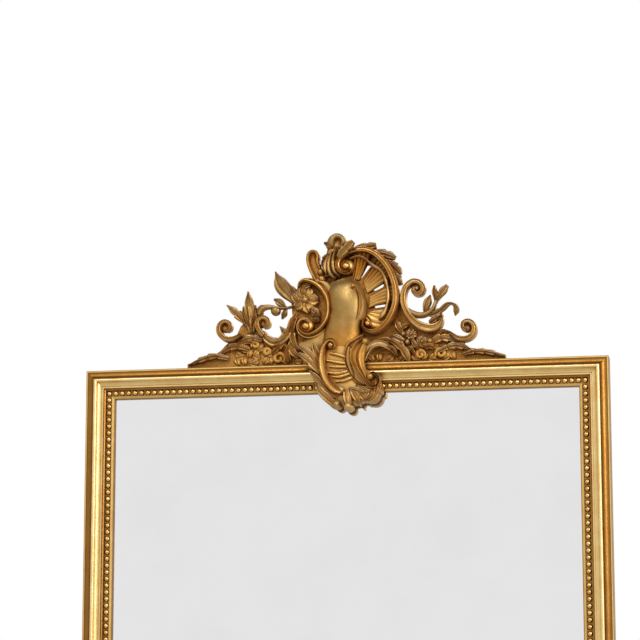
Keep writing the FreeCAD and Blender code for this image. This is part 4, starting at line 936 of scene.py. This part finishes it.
leaves("right_garland", [
    ([(425, 349), (431, 342.4), (439.5, 337.8), (449, 338.4), (457, 343)], (2.6, 4.8, 5.4, 4.6, 1), 4),
    ([(438, 351), (449, 346), (460, 345.6), (471, 349.6)], (2.4, 4.2, 4.6, 0.8), 4),
    ([(462, 354), (474, 350.8), (488, 351.8), (503, 356)], (2, 3.6, 3.4, 0.6), 4),
    ([(433, 334.6), (441, 331), (450, 331.6)], (2, 3.4, 0.8), 2),
], LEAF_RISE)

END_RIGHT_PX = [
    (450, 333), (458, 338.2), (466.4, 338.2), (472.4, 333.2), (473, 325.8), (468.4, 321.2),
    (462.8, 322.8), (462, 327.8), (465.4, 330),
]
END_WIDTHS_PX = (3, 5.6, 5.8, 5.2, 4.4, 3.8)
END_RIGHT_EYE_PX = (466.6, 328)
END_BED_RADIUS_PX = 4.6


def volute(name, points_px, widths_px, eye_px, hand):
    """A small scroll that winds round a sunk bed."""
    scroll(points_px, widths_px, OUTER_RISE, RIM, hand=hand)
    knob(eye_px, END_BED_RADIUS_PX, VOLUTE_BED_RISE)
    make_piece(name, matte)


volute("right_end_scroll", END_RIGHT_PX, END_WIDTHS_PX, END_RIGHT_EYE_PX, 1)

GROUND_RISE = 0.009
CURL_WIDTHS_PX = (2.6, 4.6, 4.8, 4.4, 4)
CURL_STEPS = 12
CURL_TURN = 2.4 * pi
CURL_IN_SHARE = 0.72
SOFT_PETAL_LENGTH_PX = 8
SOFT_PETAL_HALVES_PX = (2.2, 4, 2.4)
SOFT_PETAL_RUN_SHARES = (0, 0.5, 1)
SOFT_PETAL_TURN = 2.4
BANK_LEAF_LOBES = 2


def curl(centre_px, radius_px, start, hand):
    """A small leaf stem that winds in on itself."""
    path = []
    for step in range(CURL_STEPS + 1):
        share = step / CURL_STEPS
        angle = start + hand * CURL_TURN * share
        reach = radius_px * (1 - CURL_IN_SHARE * share)
        path.append((centre_px[0] + reach * cos(angle), centre_px[1] + reach * sin(angle)))
    scroll(path, CURL_WIDTHS_PX, GROUND_RISE, BEADING)


def foliage(name, curls_px, leaves_px, petals_px):
    """A bank of curls, leaves and soft petals over the foot of the crest."""
    for row in curls_px:
        curl(*row)
    for path, halves in leaves_px:
        leaf(path, halves, BANK_LEAF_LOBES, LEAF_RISE)
    for place, root in enumerate(petals_px):
        heading = SOFT_PETAL_TURN * place
        out = Vector((cos(heading), -abs(sin(heading)))) * SOFT_PETAL_LENGTH_PX
        path = [Vector(root) + out * share for share in SOFT_PETAL_RUN_SHARES]
        leaf(path, SOFT_PETAL_HALVES_PX, 1, GROUND_RISE)
    make_piece(name, foliage_gilt)


foliage("ground_foliage_right", [
    ((440, 353.4), 5.4, 2.6, 1), ((420, 354.6), 5, 0.4, -1),
], [
    ([(407, 346), (411.6, 349), (414.4, 355)], (1.6, 3, 1)),
], [
    (412, 360), (418, 360), (424, 360.4), (430, 360), (436, 359.6), (442, 359.6), (448, 359), (454, 358.6),
    (415, 352), (426, 354), (433, 352), (446, 352.4), (452, 352), (430, 348), (374, 361), (380, 361),
    (387, 361), (394, 361.4), (400, 361),
])

# Left wing: a tall leaf, a twig with its bud, an upright leaf, a curl, an acanthus stem and a garland,
# over the same bank of foliage. Each is carved in softwood and glued to the ground board.

leaves("left_tall_leaf", [
    ([(295, 301), (287.4, 292.4), (280.4, 284), (274.8, 271)], (4.8, 7.6, 6.6, 0.8), 1),
    ([(295.6, 296), (292, 290), (288, 283.6)], (2.8, 3.8, 0.8), 1),
], LEAF_RISE, shaded_free_gilt)

TWIG_PX = [
    (293, 306.4), (286.4, 308), (279, 308.2), (271, 307), (264.6, 307.4), (260.2, 310.4), (258.4, 315),
], (2.4, 2.4, 2.8, 3.8, 5, 5.6, 4)
TWIG_LEAVES_PX = [
    ([(286, 307.8), (281, 303.6), (277, 300.8), (273.4, 299)], (1.4, 3.4, 3.6, 1.2), 1),
    ([(285.4, 308), (284, 313), (281.4, 319)], (1.6, 3, 0.8), 1),
    ([(268, 307.4), (262, 308), (259.4, 311.4), (260, 317)], (1.8, 3.8, 4, 1.8), 1),
]
TWIG_BUD_PX = ((275.2, 310.8), 5)
scroll(*TWIG_PX, SPRAY_RISE, BEADING)
each(leaf, TWIG_LEAVES_PX, SPRAY_RISE)
knob(*TWIG_BUD_PX, SPRAY_RISE)
make_piece("left_twig", shaded_free_gilt)

leaves("left_upright_leaf", [
    ([(251, 333), (249.6, 319), (248, 305), (247.2, 291)], (4.4, 7.4, 6.6, 0.8), 3),
    ([(248, 327), (244.2, 317), (242.6, 308)], (3, 4.2, 1.6), 1),
    ([(251.6, 327), (253.8, 318), (254.2, 310)], (2.6, 3.8, 1.4), 1),
], LEAF_RISE, shaded_free_gilt)

LEFT_CURL_PX = [
    (263.4, 336), (259, 330.4), (257.2, 324.6), (259, 319.8), (263.8, 318), (267.8, 320.8), (267.6, 325.8),
    (263.6, 327),
]
LEFT_CURL_WIDTHS_PX = (5, 5.4, 5.4, 5, 4.4, 3.8)
LEFT_CURL_EYE_PX = (263, 323.6)
volute("left_curl_scroll", LEFT_CURL_PX, LEFT_CURL_WIDTHS_PX, LEFT_CURL_EYE_PX, -1)

leaves("left_acanthus_stem", [
    (
        [
            (262, 331), (266, 338), (273, 342.4), (280.4, 341), (286.4, 335), (290, 327.4), (292.6, 320),
            (296, 313.6),
        ],
        (2.4, 4.8, 5.8, 6, 5.8, 5.4, 4.4, 1.4), 3,
    ),
    ([(288.6, 336), (283.6, 331), (279.6, 326.4)], (2.8, 3.4, 0.8), 1),
    ([(298.6, 350), (294, 342.4), (292.2, 333), (293, 324), (297, 316)], (1.6, 3.6, 4.6, 4.2, 1.2), 2),
], ACANTHUS_RISE)

leaves("left_under_leaf", [
    ([(299, 358), (293.6, 353), (291, 346), (292.2, 338.6)], (3, 4.8, 4.6, 1), 2),
], LEAF_RISE)

leaves("left_garland", [
    ([(245, 323), (239, 316.6), (232.4, 310.4), (225.6, 305)], (2.8, 4.8, 4.4, 0.8), 2),
    ([(248, 349.6), (239, 346.8), (229.6, 347.8), (220.6, 353.6)], (2.6, 4.4, 4.4, 1), 3),
    ([(228, 359), (214, 356.6), (201, 360), (187, 366)], (2.6, 4, 3.8, 0.8), 4),
    ([(262, 341), (254, 338), (245, 339.6), (237, 344.6)], (2.4, 4.2, 4.2, 1), 3),
], LEAF_RISE)

END_LEFT_PX = [
    (241, 335), (232, 339.6), (224, 338.6), (218.6, 332.8), (219, 325.8), (224, 322), (229, 324),
    (229.2, 329.2), (225.8, 331),
]
END_LEFT_EYE_PX = (224.4, 328.6)
volute("left_end_scroll", END_LEFT_PX, END_WIDTHS_PX, END_LEFT_EYE_PX, -1)

foliage("ground_foliage_left", [
    ((278.6, 359), 6.4, 0.6, -1), ((266.8, 352.6), 4, 0.6, -1), ((254.6, 345.4), 4, 2.6, 1),
], [
    ([(284.6, 342), (280, 346), (275.6, 350.4), (271.4, 354.4)], (2.4, 4, 4, 1)),
    ([(252, 343), (246, 341.6), (240, 344), (235.6, 349.6)], (2, 4, 4.4, 1.4)),
    ([(290, 362), (287, 353), (289, 344.6)], (2.4, 3.8, 1)),
], [
    (294, 362), (288, 364), (270, 365), (263, 365), (257, 365), (251, 365.4), (245, 365.6), (239, 365.8),
    (267, 359), (260, 358.6), (254, 358.4), (248, 358), (242, 358), (236, 358.4), (272, 345), (261, 351),
    (257, 352), (249, 351), (243, 352), (285, 350),
])

# Pendant: a block planted on the front of the moulding under the shield, with two scrolls, a fan of
# ribs, and leaves that hang over the beads.

dress(burnished, "pendant_base")
pendant = -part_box("pendant_base")[0][1]
PENDANT_SCROLL_RISE = 0.020
STRAP = both_sides([
    (0, 0.72), (0.4, 0.74), (0.64, 0.8), (0.74, 0.92), (0.84, 0.98), (0.94, 0.88), (1, 0.66), (1, 0),
])
PENDANT_LEFT_PX = [
    (331, 345.6), (333.8, 346.6), (335.2, 344), (333.6, 340.8), (330, 340), (326, 342.8), (323.4, 348.6),
    (322.4, 356), (322.6, 363.6), (323.8, 371.2), (326.4, 378.6), (330.6, 385), (335.6, 389.4), (341, 391),
], (2.4, 3.4, 4.2, 5, 6, 6.6, 6.8, 6.8, 6.8, 6.6, 5.4)
PENDANT_EYE_PX = (331.2, 344.8)
scroll(*PENDANT_LEFT_PX, PENDANT_SCROLL_RISE, STRAP, back=pendant)
knob(PENDANT_EYE_PX, END_BED_RADIUS_PX, VOLUTE_BED_RISE, pendant)
knob(PENDANT_EYE_PX, EYE_RADIUS_PX, PENDANT_SCROLL_RISE, pendant)
make_piece("pendant_left_scroll", burnished)

HOOK = [
    (-1, 0), (-1, 0.6), (-0.96, 0.82), (-0.9, 0.94), (-0.82, 0.94), (-0.74, 0.78), (-0.62, 0.58),
    (-0.42, 0.46), (-0.2, 0.46), (0, 0.58), (0.16, 0.74), (0.32, 0.8), (0.5, 0.75), (0.66, 0.62),
    (0.8, 0.52), (0.92, 0.48), (1, 0.38), (1, 0),
]
PENDANT_RIGHT_PX = [
    (365, 339.6), (360.4, 346), (357.6, 352.4), (357.4, 359.6), (359.4, 366.4), (363, 373.4), (367, 380.4),
    (371.6, 385), (376.2, 384.6), (378.4, 380), (377.4, 375.2), (373.6, 372.6), (370, 374),
], (6, 11, 13.6, 13.8, 12.4, 10.4, 8.6, 5.8, 4.6, 4.2, 4, 3.8, 3.4)
PENDANT_HOLLOW_PX = (373, 380)
PENDANT_HOLLOW_RISE = 0.003
PENDANT_KNOBS_PX = [((370, 375.6), EYE_RADIUS_PX), ((365, 341), EYE_RADIUS_PX)]
scroll(*PENDANT_RIGHT_PX, PENDANT_SCROLL_RISE, HOOK, back=pendant)
knob(PENDANT_HOLLOW_PX, END_BED_RADIUS_PX, PENDANT_HOLLOW_RISE, pendant)
each(knob, PENDANT_KNOBS_PX, PENDANT_SCROLL_RISE, pendant)
make_piece("pendant_right_scroll", foliage_gilt)

RIB_RISE = 0.011
RIB_FIELD_RISE = RIB_RISE / 2
RIB_WIDTHS_PX = (2.6, 3.8, 3.4)
RIBS_PX = [
    [(330.4, 352.8), (338, 354.2), (345.6, 356.6)],
    [(327, 360.2), (336, 361.6), (345.6, 363)],
    [(329.6, 366), (338, 366.4), (346.4, 366.2)],
    [(327.6, 372.2), (338, 373), (348, 370.6)],
    [(332.6, 376.4), (341, 376), (350, 373)],
    [(336, 381), (344, 380), (352, 377)],
]
RIB_FIELD_PX = [(339, 346), (338, 357), (339.4, 369), (344, 380), (351, 389)], (22, 26, 26, 24, 16)
SWEEP_PX = [
    (362.6, 334.4), (355.6, 338.6), (349.6, 344.4), (346.8, 351.6), (346.2, 359.6), (348.4, 368.6),
    (352.8, 377.4), (360, 384), (366.6, 385.6),
], (3, 5, 4.8, 4, 3.8, 3.8, 4, 3.8, 2)
SWEEP_RISES = (0.6, 0.76, 0.94, 1, 1, 1, 1, 1, 0.96)
scroll(*RIB_FIELD_PX, RIB_FIELD_RISE, SKIRT, back=pendant)
for path in RIBS_PX:
    scroll(path, RIB_WIDTHS_PX, RIB_RISE, BEADING, back=pendant)
scroll(*SWEEP_PX, pendant + RIB_RISE - level, BEADING, SWEEP_RISES)
make_piece("pendant_ribs", burnished)

PENDANT_LEAF_RISE = 0.017
DROP_FOOT_DEPTH = 0.018
leaves("pendant_side_leaves", [
    ([(321.6, 372), (313, 363), (306.4, 357.4), (299, 352.8)], (4, 5.8, 5.2, 1.6), 2),
    ([(319.8, 361), (316.8, 352), (313.4, 343)], (4, 4.4, 1), 1),
    ([(320.6, 367), (313.6, 357), (307, 350.4), (300, 346)], (3.6, 5.4, 5, 1.4), 2),
    ([(338, 396), (328.6, 390), (321, 382), (315.6, 375.6), (309.6, 370)], (2.4, 4, 4.6, 4, 1), 2),
], PENDANT_LEAF_RISE, back=pendant)
DROPS_PX = [
    ([(316.8, 383), (321, 390.6), (327.6, 396.6), (333, 401), (336.6, 405)], (1.6, 3.6, 4.4, 4.2, 1.2), 1),
    ([(346, 389), (347.6, 398), (348.4, 406)], (4, 5.2, 1.6), 1),
    ([(352, 388), (356.6, 395.6), (359.2, 403.4)], (4.4, 5, 0.8), 1),
    ([(348.6, 387), (356, 388.6), (362, 391.4), (369, 391), (377, 386)], (2.4, 3.6, 4, 4, 1.6), 2),
    ([(359, 391), (364, 395.6), (366, 400)], (4, 5, 1.4), 1),
]
DROP_KNOBS_PX = [((337, 403.6), 4.2), ((348.4, 405.6), 4.8), ((341.4, 389.6), 4.8)]
DROP_BED_PX = [(322, 384), (333, 395), (348, 398), (362, 396), (375, 388)], (8, 12, 14, 12, 8)
drop_back = pendant - DROP_FOOT_DEPTH
scroll(*DROP_BED_PX, DROP_FOOT_DEPTH + RIB_FIELD_RISE, STALK, back=drop_back)
each(leaf, DROPS_PX, PENDANT_LEAF_RISE, pendant, DROP_FOOT_DEPTH)
each(knob, DROP_KNOBS_PX, PENDANT_LEAF_RISE + DROP_FOOT_DEPTH, drop_back)
make_piece("pendant_drops", matte)

leaves("pendant_tail_leaf", [
    ([(376.8, 378), (377.6, 385), (375.8, 392), (371.4, 397.4), (367, 399.4)], (2.2, 3.8, 4.6, 4.2, 1.6), 2),
    ([(372.6, 387), (370.6, 394), (366.4, 399)], (4, 4.6, 2), 1),
], PENDANT_LEAF_RISE, back=pendant, foot_depth=DROP_FOOT_DEPTH)

# Hanging hardware: brass straps screwed to the backs of the stiles, each bent round the bar of a D-ring
# that swings in its loop. The brass has tarnished.

hanger_brass = aged_metal("hanger_brass", BRASS, TARNISH, 0.3)
dress(hanger_brass, "left_hanger_strap", "right_hanger_strap", "left_hanging_ring", "right_hanging_ring")

# Wall bumpers: two discs of dense brown felt glued low on the back, which keep the frame off the wall.

FELT = (0.075, 0.055, 0.038, 1)
FELT_PALE = (0.16, 0.12, 0.085, 1)
FLUFF_SCALE = 1400
FLUFF_SHARES = (0.35, 0.7)
FLUFF_STRENGTH = 0.6
felt, shader, place = new_material("bumper_felt")
fluff = noise(place, FLUFF_SCALE, 4, 0.8)
feed(shader, {
    "Base Color": blend(ramp(fluff, FLUFF_SHARES), FELT, FELT_PALE),
    "Roughness": 0.95,
    "Sheen Weight": 0.4,
})
bumped(shader, fluff, FLUFF_STRENGTH, GRAIN_DEPTH)
dress(felt, "wall_bumpers")

# Floor, soft light and camera. The frame stands on the floor, lit from high in front, from the right and
# from behind, and is seen from a little below and to the right, as in the photograph.

FLOOR_HALF = 7.0
FLOOR_PAINT = (0.86, 0.855, 0.84, 1)
FLOOR_GLOW = (0.66, 0.66, 0.65, 1)
FLOOR_WASH_SHARE = 0.5
floor_mesh = bpy.data.meshes.new("floor")
bmesh.ops.create_grid(block, x_segments=1, y_segments=1, size=FLOOR_HALF)
bmesh.ops.translate(block, verts=block.verts, vec=(0, 0, frame_foot))
block.to_mesh(floor_mesh)
block.free()
floor = bpy.data.objects.new("floor", floor_mesh)
scene.collection.objects.link(floor)
paint, shader = new_material("pale_floor")[:2]
feed(shader, {"Base Color": FLOOR_PAINT, "Roughness": 0.8})
glow = put(shader, "Emission", {"Color": FLOOR_GLOW}).outputs[0]
ray = put(shader, "LightPath", {}).outputs
washed = maths("MULTIPLY", ray["Is Camera Ray"], FLOOR_WASH_SHARE)
share = maths("MAXIMUM", ray["Is Glossy Ray"], washed)


def mixed(share, one, other):
    return put(share, "MixShader", {0: share, 1: one, 2: other}).outputs[0]


shown = mixed(share, shader.outputs[0], glow)
feed(paint.node_tree.nodes["Material Output"], {"Surface": shown})
floor_mesh.materials.append(paint)


def stand(name, data, place, facing):
    """Puts a lamp or the camera in its place, turned to face one way."""
    holder = bpy.data.objects.new(name, data)
    holder.location = place
    holder.rotation_euler = facing.to_track_quat("-Z", "Y").to_euler()
    scene.collection.objects.link(holder)
    return holder


CREST_MIDDLE = (0, -0.05, 0.42)
FRAME_MIDDLE = (0, 0, -0.2)
LAMPS = [
    ("key", (-0.5, -2.6, 2.7), CREST_MIDDLE, 1.4, 46),
    ("fill", (2.6, -2.2, 1.2), CREST_MIDDLE, 1.6, 60),
    ("back", (0.4, 3.2, 2.2), FRAME_MIDDLE, 2.4, 60),
]
for name, place, aim, size, power in LAMPS:
    light = bpy.data.lights.new(name, "AREA")
    light.shape = "SQUARE"
    light.size = size
    light.energy = power
    stand(name, light, place, Vector(aim) - Vector(place))

WALL = (0.86, 0.86, 0.86, 1)
CEILING = (0.3, 0.3, 0.3, 1)
CEILING_SHARES = (0.32, 0.75)
AMBIENT = (0.4, 0.4, 0.41, 1)
WHITE = (1, 1, 1, 1)
world = bpy.data.worlds.new("studio")
world.use_nodes = True
tree = world.node_tree
heading = put(tree, "TexCoord", {}).outputs["Generated"]
room = blend(ramp(axes(heading)["Z"], CEILING_SHARES), WALL, CEILING)
ambient, studio, white = (
    put(tree, "Background", {"Color": colour}).outputs[0] for colour in (AMBIENT, room, WHITE)
)
ray = put(tree, "LightPath", {}).outputs
mirrored = maths("MAXIMUM", ray["Is Glossy Ray"], ray["Is Transmission Ray"])
seen = mixed(ray["Is Camera Ray"], mixed(mirrored, ambient, studio), white)
feed(tree.nodes["World Output"], {"Surface": seen})
scene.world = world
scene.view_settings.view_transform = "Standard"

CAMERA_DISTANCE = 5.0
CAMERA_AROUND = radians(10.41)
CAMERA_UP = radians(-10.63)
CAMERA_AIM = Vector((-0.0453, -0.041, 0.4382))
CAMERA_LENS = 142.5
CAMERA_SENSOR = 36
away = Vector((
    sin(CAMERA_AROUND) * cos(CAMERA_UP), -cos(CAMERA_AROUND) * cos(CAMERA_UP),
    sin(CAMERA_UP),
))
camera = bpy.data.cameras.new("camera")
camera.lens = CAMERA_LENS
camera.sensor_width = CAMERA_SENSOR
scene.camera = stand("camera", camera, CAMERA_AIM + away * CAMERA_DISTANCE, -away)
